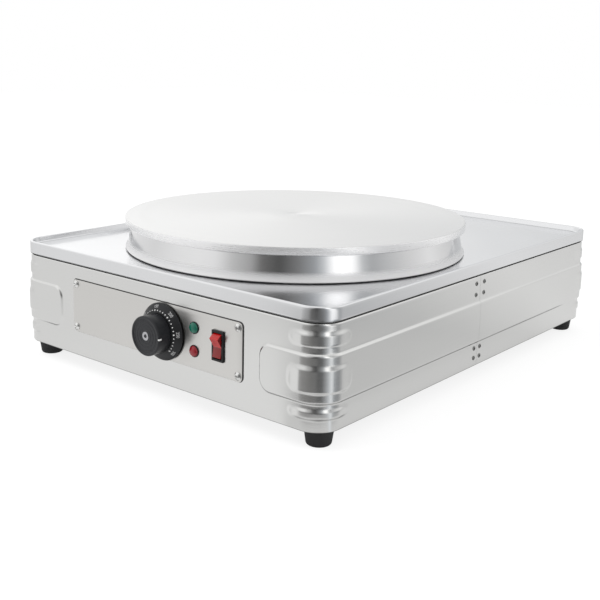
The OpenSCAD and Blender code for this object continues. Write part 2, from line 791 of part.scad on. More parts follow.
module base_plate() {
    edge = sheet + 0.3;
    color("silver") difference() {
        slab(2 * (half_w - edge), 2 * (half_d - edge), wall_r - edge, foot_h, foot_h + sheet);
        foot_places() translate([0, 0, foot_h - over])
            cylinder(d = foot_screw_d + 2 * fit, h = sheet + 2 * over);
        base_screw_places() cylinder(d = base_screw_d + 2 * fit, h = 8, center = true);
        for (y = [-1, 1], i = [-3:3]) translate([i * slot_pitch, y * slot_row, foot_h - over])
            linear_extrude(sheet + 2 * over) vent_slot();
    }
}

slot_l = 60;
slot_w = 6;
slot_pitch = 42;
slot_row = 120;

module vent_slot() {
    square([slot_w, slot_l - slot_w], center = true);
    for (y = [-1, 1]) translate([0, y * (slot_l - slot_w) / 2]) circle(d = slot_w);
}

module base_screws() {
    length = 3 * sheet + 3;
    color("silver") base_screw_places() mirror([0, 0, 1]) {
        pan_head(2 * base_screw_d, screw_head_h);
        translate([0, 0, -length]) cylinder(d = base_screw_d, h = length);
    }
}

module foot(x, y) {
    edge = 3;
    recess_d = 13;
    recess_h = foot_h * 0.45;
    color("black") translate([x * foot_x, y * foot_y, 0]) difference() {
        rotate_extrude() {
            polygon([[0, 0], [foot_low_d / 2 - edge, 0], [foot_low_d / 2 - edge, edge],
                [foot_low_d / 2, edge], [foot_top_d / 2, foot_h], [0, foot_h]]);
            intersection() {
                translate([foot_low_d / 2 - edge, edge]) circle(edge, $fn = 32);
                square([foot_low_d, edge]);
            }
        }
        translate([0, 0, -over]) cylinder(d = recess_d, h = recess_h + over);
        translate([0, 0, -over]) cylinder(d = foot_screw_d + 2 * fit, h = foot_h + 2 * over);
    }
}

module foot_front_left() { foot(-1, -1); }

module foot_front_right() { foot(1, -1); }

module foot_rear_left() { foot(-1, 1); }

module foot_rear_right() { foot(1, 1); }

module foot_screws() {
    seat = foot_h * 0.45;
    length = foot_h - seat + sheet + 6;
    color("silver") foot_places() translate([0, 0, seat]) {
        mirror([0, 0, 1]) pan_head(2 * foot_screw_d, foot_head_h);
        cylinder(d = foot_screw_d, h = length);
    }
}

module foot_nuts() {
    color("silver") foot_places() translate([0, 0, foot_h + sheet])
        hex_nut(foot_nut_w, foot_nut_h, foot_screw_d + 2 * fit);
}

// ---------- control panel ----------

module control_panel() {
    color("lightgray") difference() {
        translate([0, -half_d, panel_z]) rotate([90, 0, 0]) linear_extrude(panel_t)
            rounded_rect(panel_w, panel_h, panel_r);
        panel_openings();
    }
}

module panel_screws() {
    shank_d = panel_screw_d - 0.8;
    length = panel_t + sheet + 5;
    color("silver") panel_screw_places() {
        pan_head(panel_head_d, panel_head_h);
        translate([0, 0, -length]) cylinder(d = shank_d, h = length);
    }
}

module thermostat_body() {
    color("beige") difference() {
        union() {
            translate([knob_x - thermostat_w / 2, thermostat_y, knob_z - thermostat_w / 2])
                cube([thermostat_w, thermostat_l, thermostat_w]);
            knob_place(thermostat_y) cylinder(d = neck_d + 8, h = thermostat_y + half_d - sheet);
            knob_place(thermostat_y) cylinder(d = neck_d, h = thermostat_y - panel_y + dial_t - 1);
        }
        knob_place(thermostat_y + 12) cylinder(d = spindle_d + 2 * fit, h = 40);
        knob_place(thermostat_y + 12) cylinder(d = spindle_d + 2.6, h = 4);
    }
}

module thermostat_nut() {
    color("silver") knob_place(panel_y - dial_floor_t) hex_nut(neck_d + 4, neck_nut_h, neck_d + 2 * fit);
}

// Fixed dial: a flared ring whose slope carries the scale, held by the neck's nut
module dial_bezel() {
    hub_r = (neck_d + 4) / 2 / cos(30) + 0.3;
    color("#222222") knob_place(panel_y) difference() {
        union() {
            cylinder(r = dial_r, h = dial_rim_t);
            translate([0, 0, dial_rim_t])
                cylinder(r1 = dial_r, r2 = knob_r + dial_ring_w, h = dial_t - dial_rim_t);
        }
        translate([0, 0, dial_floor_t]) cylinder(r = hub_r, h = dial_t);
        translate([0, 0, -over]) cylinder(d = neck_d + 2 * fit, h = dial_t + 2 * over);
    }
}

// The spindle turns in the thermostat's neck and carries the knob
module thermostat_spindle() {
    color("silver") knob_place(spindle_root_y) {
        cylinder(d = spindle_d, h = spindle_root_y - spindle_end_y);
        cylinder(d = spindle_d + 2, h = 3);
    }
}

module knob_grip() {
    round = 1.2;
    dish = 0.8;             // depth of the shallow dish in the knob's face
    color("#2b2b2d") difference() {
        knob_place(knob_back_y) difference() {
            rotate_extrude() {
                square([knob_r - round, knob_l]);
                square([knob_r, knob_l - round]);
                translate([knob_r - round, knob_l - round]) circle(round, $fn = 32);
            }
            translate([0, 0, knob_l - dish])
                cylinder(r1 = knob_r - 3.2, r2 = knob_r - 3.2 + dish + over, h = dish + over);
            translate([0, 0, knob_l - cap_seat]) cylinder(d = cap_d + 2 * fit, h = over);
            pointer_bar(fit, over);
        }
        knob_place(knob_back_y + over)
            cylinder(d = spindle_d + 2 * fit, h = knob_back_y - spindle_end_y + over);
    }
}
cap_d = 9;
cap_seat = 1.6;             // depth of the cap's seat below the knob's face

// Small disc in the middle of the knob's face
module knob_cap() {
    color("silver") knob_place(knob_back_y) translate([0, 0, knob_l - cap_seat])
        cylinder(d = cap_d, h = 1.2);
}

// Index mark let into the edge of the knob's face, or its slot when grown
module pointer_bar(grow, past) {
    bar_w = 1.8;
    bar_l = 2.2;
    bar_h = 4;
    translate([knob_r - bar_l, -bar_w / 2 - grow, knob_l - bar_h])
        cube([bar_l + past, bar_w + 2 * grow, bar_h + past]);
}

module knob_pointer() {
    shy = 0.1;              // the mark ends just inside the knob's faces
    color("white") knob_place(knob_back_y) intersection() {
        pointer_bar(0, 0);
        cylinder(r = knob_r - shy, h = knob_l - 0.4);
    }
}

// ---------- lamps and switch ----------

module lamp_lens() {
    lip = 0.8;
    cylinder(d = lens_d, h = lip);
    translate([0, 0, lip]) dome(lens_d, lens_dome);
}
lens_dome = 3.2;

module lamp_body() {
    color("dimgray") translate([0, 0, -24]) cylinder(d = lamp_d, h = 24);
    color("silver") for (x = [-1, 1]) translate([x * 2.5 - 1, -0.4, -32]) cube([2, 0.8, 8]);
}

module green_lamp_lens() { color("teal") lamp_place(1) lamp_lens(); }

module green_lamp_body() { lamp_place(1) lamp_body(); }

module red_lamp_lens() { color("crimson") lamp_place(-1) lamp_lens(); }

module red_lamp_body() { lamp_place(-1) lamp_body(); }

module lamp_nuts() {
    color("dimgray") for (side = [-1, 1]) translate([0, panel_t + sheet, 0]) lamp_place(side)
        translate([0, 0, -3]) hex_nut(lamp_d + 4, 3, lamp_d + 2 * fit);
}

module switch_frame() {
    color("#1c1c1c") difference() {
        union() {
            translate([switch_x - bezel_w / 2, panel_y - bezel_t, switch_z - bezel_h / 2])
                cube([bezel_w, bezel_t, bezel_h]);
            translate([switch_x - switch_body_w / 2, panel_y - over / 2, switch_z - switch_body_h / 2])
                cube([switch_body_w, switch_body_l, switch_body_h]);
        }
        translate([switch_x - pocket_w / 2, pivot_y, switch_z]) rotate([0, 90, 0])
            cylinder(r = pocket_r, h = pocket_w);
        translate([switch_x - pocket_w / 2, panel_y - bezel_t - over, switch_z - pocket_r])
            cube([pocket_w, pivot_depth + over, 2 * pocket_r]);
        translate([switch_x - bezel_w / 2 + 1, pivot_y, switch_z]) rotate([0, 90, 0])
            cylinder(d = pivot_d + 2 * fit, h = bezel_w - 2);
    }
}

// The rocker is drawn level and tilted to its rest position, top end out
module rocker_button() {
    middle = 4.8;           // height of the face over the pivot at the middle
    tip = 3.6;              // how much higher the ends stand
    color("red") translate([switch_x, pivot_y, switch_z]) rotate([rocker_tilt, 0, 0]) {
        translate([-rocker_w / 2, 0, 0]) rotate([90, 0, 90]) linear_extrude(rocker_w)
            intersection() {
                circle(rocker_r);
                polygon([[5, -rocker_r], [5, rocker_r], [-middle - tip, rocker_r],
                    [-middle, 0], [-middle - tip, -rocker_r]]);
            }
        translate([-rocker_w / 2 - 0.9, 0, 0]) rotate([0, 90, 0]) cylinder(d = pivot_d, h = rocker_w + 1.8);
    }
}

module switch_terminals() {
    color("goldenrod") for (x = [-1, 1], z = [-1, 0, 1])
        if (z != 0 || x > 0) translate([switch_x + x * 3.2 - 0.4,
            panel_y - over / 2 + switch_body_l, switch_z + z * 8 - 2.4]) cube([0.8, 8, 4.8]);
}

// ---------- rear fittings ----------
gland_thread_d = 16;
gland_x = body_w / 2 - gland_inset;
gland_z = z_wall_mid;
rear_y = half_d + band_h;               // outer face of the band at the rear
flange_t = 6;
locknut_t = 5;
gland_cap_w = 22;
gland_neck = gland_reach - 7;           // end of the thread under the cap
gland_tail = sheet + locknut_t + 3;     // length of the thread inside the shell

module rear_place(x) {
    translate([x, rear_y, gland_z]) rotate([-90, 0, 0]) children();
}

module cable_gland() {
    color("#2a2a2a") rear_place(gland_x) difference() {
        union() {
            cylinder(d = (gland_cap_w + 2) / cos(30), h = flange_t, $fn = 6);
            translate([0, 0, -gland_tail]) cylinder(d = gland_thread_d, h = gland_tail);
            cylinder(d = gland_thread_d, h = gland_neck);
        }
        translate([0, 0, -gland_tail - over]) cylinder(d = gland_bore + 1, h = gland_tail + gland_reach);
    }
}

module gland_cap() {
    round = 4;
    cap_foot = flange_t + touch;
    color("#2a2a2a") rear_place(gland_x) difference() {
        union() {
            translate([0, 0, cap_foot])
                cylinder(d = gland_cap_w / cos(30), h = gland_reach - cap_foot - round, $fn = 6);
            translate([0, 0, gland_reach - round - 1])
                cylinder(d1 = gland_cap_w, d2 = gland_cap_w - 7, h = round + 1);
        }
        translate([0, 0, flange_t])
            cylinder(d = gland_thread_d + 2 * fit, h = gland_neck - flange_t + touch);
        translate([0, 0, -over]) cylinder(d = gland_bore, h = gland_reach + 2 * over);
    }
}

module gland_locknut() {
    color("#2a2a2a") rear_place(gland_x) translate([0, 0, -sheet - locknut_t])
        hex_nut(gland_cap_w, locknut_t, gland_thread_d + 2 * fit);
}

module earth_stud() {
    color("goldenrod") rear_place(gland_x - earth_offset) {
        translate([0, 0, -sheet - 8]) cylinder(d = earth_d, h = sheet + 8 + 6);
        translate([0, 0, 6]) cylinder(d = earth_d - 1, h = 1);
        translate([0, 0, 7]) cylinder(d = earth_d, h = 11);
    }
}

module earth_nuts() {
    color("goldenrod") rear_place(gland_x - earth_offset) {
        hex_nut(10, 5, earth_d + 2 * fit);
        translate([0, 0, -sheet - 5]) hex_nut(10, 5, earth_d + 2 * fit);
    }
}

// Ceramic connector on the base, near the gland
block_w = 44;
block_l = 26;
block_h = 20;
block_back = 50;        // of its middle from the rear wall
block_y = half_d - block_back;
way_pitch = 14;
way_row = 7;            // distance of its screws from the middle
way_z = 8;              // height of the wire holes over the block's foot
way_d = 5;
way_screw_d = 4;
way_screw_l = 7;

module terminal_block() {
    color("white") difference() {
        translate([gland_x - block_w / 2, block_y - block_l / 2, foot_h + sheet])
            cube([block_w, block_l, block_h]);
        for (i = [-1, 0, 1])
            translate([gland_x + i * way_pitch, block_y - block_l, foot_h + sheet + way_z])
                rotate([-90, 0, 0]) cylinder(d = way_d, h = 2 * block_l);
        terminal_screw_places() translate([0, 0, way_z]) cylinder(d = way_screw_d + 2 * fit, h = block_h);
    }
}

module terminal_screws() {
    color("goldenrod") terminal_screw_places() translate([0, 0, way_z + 3])
        cylinder(d = way_screw_d, h = way_screw_l);
}

module terminal_screw_places() {
    for (i = [-1, 0, 1], y = [-1, 1])
        translate([gland_x + i * way_pitch, block_y + y * way_row, foot_h + sheet]) children();
}

cooking_plate();
outer_heating_element();
inner_heating_element();
element_clamp_plate();
insulation_pad();
plate_studs();
stud_sleeves();
stud_nuts();
thermostat_capillary();
deck_cover();
deck_stiffener();
front_plate_bearer();
rear_plate_bearer();
deck_screws();
front_shell();
rear_shell();
left_seam_strap();
right_seam_strap();
seam_rivets();
base_plate();
base_screws();
foot_front_left();
foot_front_right();
foot_rear_left();
foot_rear_right();
foot_screws();
foot_nuts();
control_panel();
panel_screws();
thermostat_body();
thermostat_nut();
dial_bezel();
thermostat_spindle();
knob_grip();
knob_cap();
knob_pointer();
green_lamp_lens();
green_lamp_body();
red_lamp_lens();
red_lamp_body();
lamp_nuts();
switch_frame();
rocker_button();
switch_terminals();
terminal_block();
terminal_screws();
cable_gland();
gland_cap();
gland_locknut();
earth_stud();
earth_nuts();
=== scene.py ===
"""Electric crepe maker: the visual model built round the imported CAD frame, in the same frame."""
import json
from math import acos, asin, cos, degrees, dist, hypot, pi, radians, sin, sqrt, tan

import bmesh
import bpy
from mathutils import Matrix, Vector
from mathutils.geometry import delaunay_2d_cdt

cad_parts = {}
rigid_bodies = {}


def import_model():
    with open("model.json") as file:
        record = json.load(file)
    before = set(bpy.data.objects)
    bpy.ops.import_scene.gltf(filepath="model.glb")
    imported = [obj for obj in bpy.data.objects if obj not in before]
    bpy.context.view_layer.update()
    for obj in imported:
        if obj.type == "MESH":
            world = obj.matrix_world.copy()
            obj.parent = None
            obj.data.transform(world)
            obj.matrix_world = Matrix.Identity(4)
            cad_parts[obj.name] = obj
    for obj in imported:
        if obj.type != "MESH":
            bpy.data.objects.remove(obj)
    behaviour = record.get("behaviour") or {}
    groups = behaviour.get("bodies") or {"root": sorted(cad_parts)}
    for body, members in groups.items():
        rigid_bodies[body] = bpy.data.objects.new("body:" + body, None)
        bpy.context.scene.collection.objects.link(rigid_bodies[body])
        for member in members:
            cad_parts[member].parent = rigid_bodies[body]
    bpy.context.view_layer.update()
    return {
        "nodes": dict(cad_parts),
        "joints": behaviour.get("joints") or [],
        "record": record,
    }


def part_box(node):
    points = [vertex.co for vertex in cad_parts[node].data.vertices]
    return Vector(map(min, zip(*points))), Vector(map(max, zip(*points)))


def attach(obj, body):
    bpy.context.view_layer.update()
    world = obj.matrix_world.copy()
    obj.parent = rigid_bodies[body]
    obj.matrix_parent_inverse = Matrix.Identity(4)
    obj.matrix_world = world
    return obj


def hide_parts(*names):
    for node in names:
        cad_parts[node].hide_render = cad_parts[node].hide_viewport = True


for leftover in list(bpy.data.objects):
    bpy.data.objects.remove(leftover)
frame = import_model()

MM = 0.001  # every size below is in millimetres and becomes metres in a mesh
SHEET = 1  # thickness of the casing's sheet
DECK_SHEET = 0.9


def box(node):
    """Lowest and highest corner of a CAD node, in millimetres."""
    low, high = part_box(node)
    return low / MM, high / MM


def middle_of(node):
    return sum(box(node), Vector()) / 2


# ----- places -----

DECK_LOW, DECK_HIGH = box("deck_cover")
WALL_LOW, WALL_HIGH = box("front_shell")
PLATE_LOW, PLATE_HIGH = box("cooking_plate")
PANEL_LOW, PANEL_HIGH = box("control_panel")
DIAL_LOW, DIAL_HIGH = box("dial_bezel")
KNOB_LOW, KNOB_HIGH = box("knob_grip")

PLATE_CENTRE = middle_of("cooking_plate")
PLATE_R = (PLATE_HIGH.x - PLATE_LOW.x) / 2
KNOB_CENTRE = middle_of("knob_grip")
KNOB_R = (KNOB_HIGH.x - KNOB_LOW.x) / 2
DECK_CORNER_R = 27
WALL_SET = 1  # the walls stand this far inside the deck's skirt
WALL_X = DECK_HIGH.x - WALL_SET
WALL_Y = DECK_HIGH.y - WALL_SET
WALL_R = DECK_CORNER_R - WALL_SET
SEAM_Y = (box("front_shell")[1].y + box("rear_shell")[0].y) / 2
SEAM_GAP = 0.1  # half of the hairline between the shells


# ----- meshes -----

def new_object(name, data):
    obj = bpy.data.objects.new(name, data)
    bpy.context.scene.collection.objects.link(obj)
    return obj


def modify(obj, kind, **settings):
    """Adds a modifier, which finish_mesh applies."""
    made = obj.modifiers.new(kind.lower(), kind)
    for key, value in settings.items():
        setattr(made, key, value)
    return obj


def finish_mesh(obj, sharp=35):
    """Applies the modifiers, smooths the faces and keeps the edges sharper than the angle."""
    mesh = bpy.data.meshes.new_from_object(obj.evaluated_get(bpy.context.evaluated_depsgraph_get()))
    obj.modifiers.clear()
    obj.data = mesh
    mesh.polygons.foreach_set("use_smooth", [True] * len(mesh.polygons))
    mesh.set_sharp_from_angle(angle=radians(sharp))
    return obj


def mesh_object(name, verts, faces, matrix=Matrix(), weld=0):
    """Object from vertices in millimetres. The weld joins vertices closer than that distance."""
    mesh = bpy.data.meshes.new(name)
    mesh.from_pydata([Vector(v) * MM for v in verts], [], faces)
    mesh.transform(matrix)
    work = bmesh.new()
    work.from_mesh(mesh)
    if weld:
        bmesh.ops.remove_doubles(work, verts=work.verts, dist=weld * MM)
    bmesh.ops.recalc_face_normals(work, faces=work.faces)
    work.to_mesh(mesh)
    work.free()
    return new_object(name, mesh)


def dress(obj, sharp, slot, replaced=None, looks=None, body="housing", paint=None):
    """Finishes a piece, gives it its body, slot and looks, and hides the node it stands for. The paint rule
    says which look a face has, by its middle in millimetres and its normal."""
    finish_mesh(obj, sharp)
    obj.data.materials.clear()
    for look in looks or (slot,):
        obj.data.materials.append(LOOKS[look])
    for face in obj.data.polygons if paint else ():
        face.material_index = int(paint(face.center / MM, face.normal))
    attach(obj, body)
    if replaced:
        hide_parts(replaced)


def at(x, y, z, turn=0, axis="X"):
    """Matrix that turns a piece round an axis, in degrees, and moves it to a place in millimetres."""
    return Matrix.Translation(Vector((x, y, z)) * MM) @ Matrix.Rotation(radians(turn), 4, axis)


def on_front(node):
    """Matrix that stands a piece drawn on +Z at the back of a node, towards -Y."""
    return at(middle_of(node).x, box(node)[1].y, middle_of(node).z, 90)


def arc(cx, cy, radius, start, end, steps, tall=None):
    """Points on an arc, angles in degrees, both ends included. An ellipse is tall along the second axis."""
    turn = [radians(start + (end - start) * i / steps) for i in range(steps + 1)]
    return [(cx + radius * cos(a), cy + (tall or radius) * sin(a)) for a in turn]


def circle(x, y, radius, segments):
    """Loop of points round a circle."""
    return arc(x, y, radius, 0, 360, segments)[:-1]


CORNER_SIGNS = [(-1, -1), (1, -1), (1, 1), (-1, 1)]


def rounded_rect(half_x, half_y, radius, steps):
    """Loop of points round a rectangle with rounded corners, anticlockwise."""
    cx, cy = half_x - radius, half_y - radius
    return [point for x, y, start in ((cx, -cy, -90), (cx, cy, 0), (-cx, cy, 90), (-cx, -cy, 180))
            for point in arc(x, y, radius, start, start + 90, steps)]


def skin(loops):
    """Vertices of a row of loops, and the faces between them."""
    n = len(loops[0])
    faces = [(i * n + j, i * n + (j + 1) % n, (i + 1) * n + (j + 1) % n, (i + 1) * n + j)
             for i in range(len(loops) - 1) for j in range(n)]
    return [vert for loop in loops for vert in loop], faces


def extend(mesh, verts, faces):
    """Adds vertices and their faces to a pair of lists."""
    first = len(mesh[0])
    mesh[0].extend(verts)
    mesh[1].extend([first + i for i in face] for face in faces)


def lathe(name, profile, segments, matrix):
    """Turns a profile of (radius, height) points round Z. Points on the axis become one vertex, and a profile
    that doesn't start there is closed."""
    verts, faces, rings = [], [], []
    for radius, height in profile:
        on_axis = radius < 1e-6
        rings.append([len(verts) + (0 if on_axis else j) for j in range(segments)])
        verts += [(0, 0, height)] if on_axis else [(x, y, height) for x, y in circle(0, 0, radius, segments)]
    pairs = list(zip(rings, rings[1:]))
    if profile[0][0] > 1e-6:
        pairs.append((rings[-1], rings[0]))
    for lower, upper in pairs:
        for j in range(segments):
            k = (j + 1) % segments
            face = list(dict.fromkeys((lower[j], lower[k], upper[k], upper[j])))
            if len(face) > 2:
                faces.append(face)
    return mesh_object(name, verts, faces, matrix)


def rod(name, radius, length, segments, matrix):
    return lathe(name, [(0, 0), (radius, 0), (radius, length), (0, length)], segments, matrix)


def inside(point, loop):
    """Whether a point lies inside a loop."""
    x, y = point
    return sum((y0 > y) != (y1 > y) and x < (x1 - x0) * (y - y0) / (y1 - y0) + x0
               for (x0, y0), (x1, y1) in zip(loop, loop[1:] + loop[:1])) % 2 == 1


def fill(loops, step, clearance=2):
    """Triangles between an outer loop and the holes that follow it, with a grid of points inside."""
    outer, holes = loops[0], loops[1:]
    points, edges = [], []
    for loop in loops:
        first = len(points)
        points += loop
        edges += [(first + i, first + (i + 1) % len(loop)) for i in range(len(loop))]
    fixed = list(points)
    (x, last_x), (low_y, last_y) = [(min(axis) + step / 2, max(axis)) for axis in zip(*outer)]
    while x < last_x:
        y = low_y
        while y < last_y:
            if inside((x, y), outer) and min(dist((x, y), p) for p in fixed) > clearance:
                points.append((x, y))
            y += step
        x += step
    verts, _, faces, *_ = delaunay_2d_cdt([Vector(p) for p in points], edges, [], 1, 1e-6)
    middles = [sum((verts[i] for i in face), Vector((0, 0))) / len(face) for face in faces]
    return verts, [face for face, middle in zip(faces, middles)
                   if not any(inside(middle, hole) for hole in holes)]


def combine(obj, *others, how="DIFFERENCE"):
    """Cuts other solids out of a piece, or joins them to it, and deletes them."""
    for other in others:
        modify(obj, "BOOLEAN", operation=how, solver="EXACT", object=other)
    finish_mesh(obj)
    for other in others:
        bpy.data.objects.remove(other)
    return obj


def block(name, low, high):
    """Box between two corners."""
    x, y, z = zip(low, high)
    verts = [(x[i], y[j], z[k]) for k in (0, 1) for j in (0, 1) for i in (0, 1)]
    faces = [(0, 2, 3, 1), (4, 5, 7, 6), (0, 1, 5, 4), (2, 6, 7, 3), (0, 4, 6, 2), (1, 3, 7, 5)]
    return mesh_object(name, verts, faces)


def soften(obj, width, segments=3, angle=30):
    """Rounds the edges that are sharper than the angle."""
    return modify(obj, "BEVEL", width=width * MM, segments=segments, limit_method="ANGLE",
                  angle_limit=radians(angle), use_clamp_overlap=True)


def join(name, parts):
    """One object out of several."""
    work = bmesh.new()
    for part in parts:
        work.from_mesh(part.data)
        bpy.data.objects.remove(part)
    mesh = bpy.data.meshes.new(name)
    work.to_mesh(mesh)
    work.free()
    return new_object(name, mesh)


# ----- materials -----

STUDIO_TOP = 2.8  # brightness that the studio's colours are shares of


class Graph:
    """The node tree of a material or of the world, with short calls for the nodes used here."""

    def __init__(self, owner, empty=False):
        owner.use_nodes = True
        self.owner, self.tree = owner, owner.node_tree
        if empty:
            self.tree.nodes.clear()

    def feed(self, node, inputs):
        """Sets inputs to a value, or links them where the value is an output."""
        for name, value in inputs.items():
            if hasattr(value, "links"):
                self.tree.links.new(value, node.inputs[name])
            else:
                node.inputs[name].default_value = value

    def add(self, kind, inputs=None, output=None, **settings):
        """Adds a node and gives one of its outputs, or all of them."""
        made = self.tree.nodes.new("ShaderNode" + kind)
        for key, value in settings.items():
            setattr(made, key, value)
        self.feed(made, inputs or {})
        return made.outputs[output] if output else made.outputs

    def place(self, scale=(1, 1, 1), offset=(0, 0, 0)):
        """Object coordinates, scaled and moved."""
        here = self.add("TexCoord", output="Object")
        return self.add("Mapping", {"Vector": here, "Scale": scale, "Location": offset}, "Vector")

    def noise(self, place, scale=1, detail=3, rough=0.5):
        settings = {"Vector": place, "Scale": scale, "Detail": detail, "Roughness": rough}
        return self.add("TexNoise", settings, "Fac")

    def spread(self, value, low, high, source_low=0.3, source_high=0.7, **settings):
        """Maps a value to a range."""
        return self.add("MapRange", {"Value": value, "From Min": source_low, "From Max": source_high,
                                     "To Min": low, "To Max": high}, "Result", **settings)

    def ease(self, value, source_low, source_high, low=0, high=1):
        """Soft step from low to high."""
        return self.spread(value, low, high, source_low, source_high, interpolation_type="SMOOTHSTEP")

    def mix(self, factor, a, b, **settings):
        """Colour between two colours or greys."""
        a, b = [(value,) * 3 + (1,) if isinstance(value, (int, float)) else value for value in (a, b)]
        return self.add("Mix", {"Factor": factor, "A": a, "B": b}, "Result", data_type="RGBA", **settings)

    def math(self, operation, *values):
        return self.add("Math", dict(enumerate(values)), "Value", operation=operation)

    def blend(self, a, b, share):
        """Sum of two values, the first with this share."""
        return self.math("ADD", self.math("MULTIPLY", a, share), self.math("MULTIPLY", b, 1 - share))

    def length(self, sides):
        return self.math("SQRT", self.math("ADD", *[self.math("MULTIPLY", side, side) for side in sides]))

    def bump(self, height, depth, **under):
        """Bump as deep as depth millimetres."""
        return self.add("Bump", {"Height": height, "Distance": depth * MM, **under}, "Normal")

    def stretch(self, axis, amount):
        """Inputs that stretch reflections round an axis through the piece's middle."""
        if not amount:
            return {}
        tangent = self.add("Tangent", output="Tangent", direction_type="RADIAL", axis=axis)
        return {"Anisotropic": amount, "Anisotropic_Rotation": 0.25, "Tangent": tangent}

    def surface(self, colour, drift, darker, lighter, gloss, normal, **more):
        """Fills in the shader. The colour drifts between a darker and a lighter share of itself."""
        shades = [(*(min(1, c * factor) for c in colour), 1) for factor in (darker, lighter)]
        named = {key.replace("_", " "): value for key, value in more.items()}
        self.feed(self.tree.nodes["Principled BSDF"], {
            "Base Color": self.mix(drift, *shades), "Roughness": gloss, "Normal": normal, **named})
        return self.owner

    def around(self, x, y, stretches):
        """Colour by heading."""
        heading = self.math("ARCTAN2", x, self.math("MULTIPLY", y, -1))
        ramp = self.tree.nodes.new("ShaderNodeValToRGB")
        self.feed(ramp, {"Fac": self.math("ADD", self.math("DIVIDE", heading, 2 * pi), 0.5)})
        stops = ramp.color_ramp.elements
        while len(stops) < len(stretches):
            stops.new(0.5)
        for stop, (angle, value, *warmth) in zip(stops, stretches):
            stop.position = angle / 360 + 0.5
            level, warm = value / STUDIO_TOP, sum(warmth)
            stop.color = (level * (1 + warm), level, level * (1 - warm), 1)
        return ramp.outputs["Color"]


def sheet_steel(g, colour, rough, grain, grain_depth, wave_depth=0, spread=0, metallic=1, satin=None):
    """Rolled or brushed sheet: fine grain along one axis and faint cloudy wear. The spread stretches
    reflections across the grain. Satin is the height where the finish starts to turn satin, the height
    where it has, and its roughness and metallic."""
    lines = g.noise(g.place(grain), detail=4, rough=0.6)
    clouds = g.noise(g.place((9, 9, 9)))
    gloss = g.spread(g.blend(lines, clouds, 0.6), *rough)
    if satin:
        start, end, dull, metal = satin
        height = g.add("SeparateXYZ", {"Vector": g.place()}, "Z")
        gloss = g.math("ADD", gloss, g.spread(height, 0, dull - rough[1], start * MM, end * MM))
        metallic = g.spread(height, metallic, metal, start * MM, end * MM)
    normal = g.bump(lines, grain_depth)
    if wave_depth:
        normal = g.bump(g.noise(g.place((7, 5, 7), (3, 1, 2)), detail=1), wave_depth, Normal=normal)
    return g.surface(colour, g.blend(lines, clouds, 0.5), 0.955, 1.04, gloss, normal, Metallic=metallic,
                     **g.stretch("Z", spread))


def moulded(g, colour, rough, grain_scale, grain_depth, coat=0, specular=0.5):
    """Moulded plastic or rubber with a fine texture and slight blooming."""
    clouds = g.noise(g.place(), 60, 2)
    grain = g.noise(g.place(), grain_scale, 2)
    return g.surface(colour, clouds, 0.9, 1.12, g.spread(clouds, *rough), g.bump(grain, grain_depth),
                     Coat_Weight=coat, Coat_Roughness=0.08, Specular_IOR_Level=specular)


def turned(g, colour, rough, pitch, depth, centre, axis="Z", anisotropy=0):
    """Turned surface: rings round an axis, a pitch apart, with a slow drift in their gloss."""
    across = [int(name != axis) for name in "XYZ"]
    place = g.place(across, [-c * MM * keep for c, keep in zip(centre, across)])
    radius = g.add("VectorMath", {0: place}, "Value", operation="LENGTH")
    rings, bands = [g.add("TexNoise", {"Scale": 1 / (width * MM), "W": radius}, "Fac", noise_dimensions="1D")
                    for width in (pitch, 12 * pitch)]
    drift = g.blend(bands, g.noise(g.place((14, 14, 14))), 0.6)
    return g.surface(colour, drift, 0.95, 1.04, g.spread(drift, *rough), g.bump(rings, depth), Metallic=1,
                     **g.stretch(axis, anisotropy))


def speckled(g, colour, rough, scale, depth, metallic=0):
    """Cast, sintered, felted or plated surface with an irregular fine texture."""
    fine = g.noise(g.place(), scale, 5, 0.65)
    broad = g.noise(g.place(), scale / 12, 2)
    drift = g.blend(fine, broad, 0.5)
    return g.surface(colour, drift, 0.85, 1.1, g.spread(broad, *rough), g.bump(fine, depth), Metallic=metallic)


SATIN_FROM, SATIN_TO = PLATE_LOW.z + 10.6, PLATE_LOW.z + 5.8
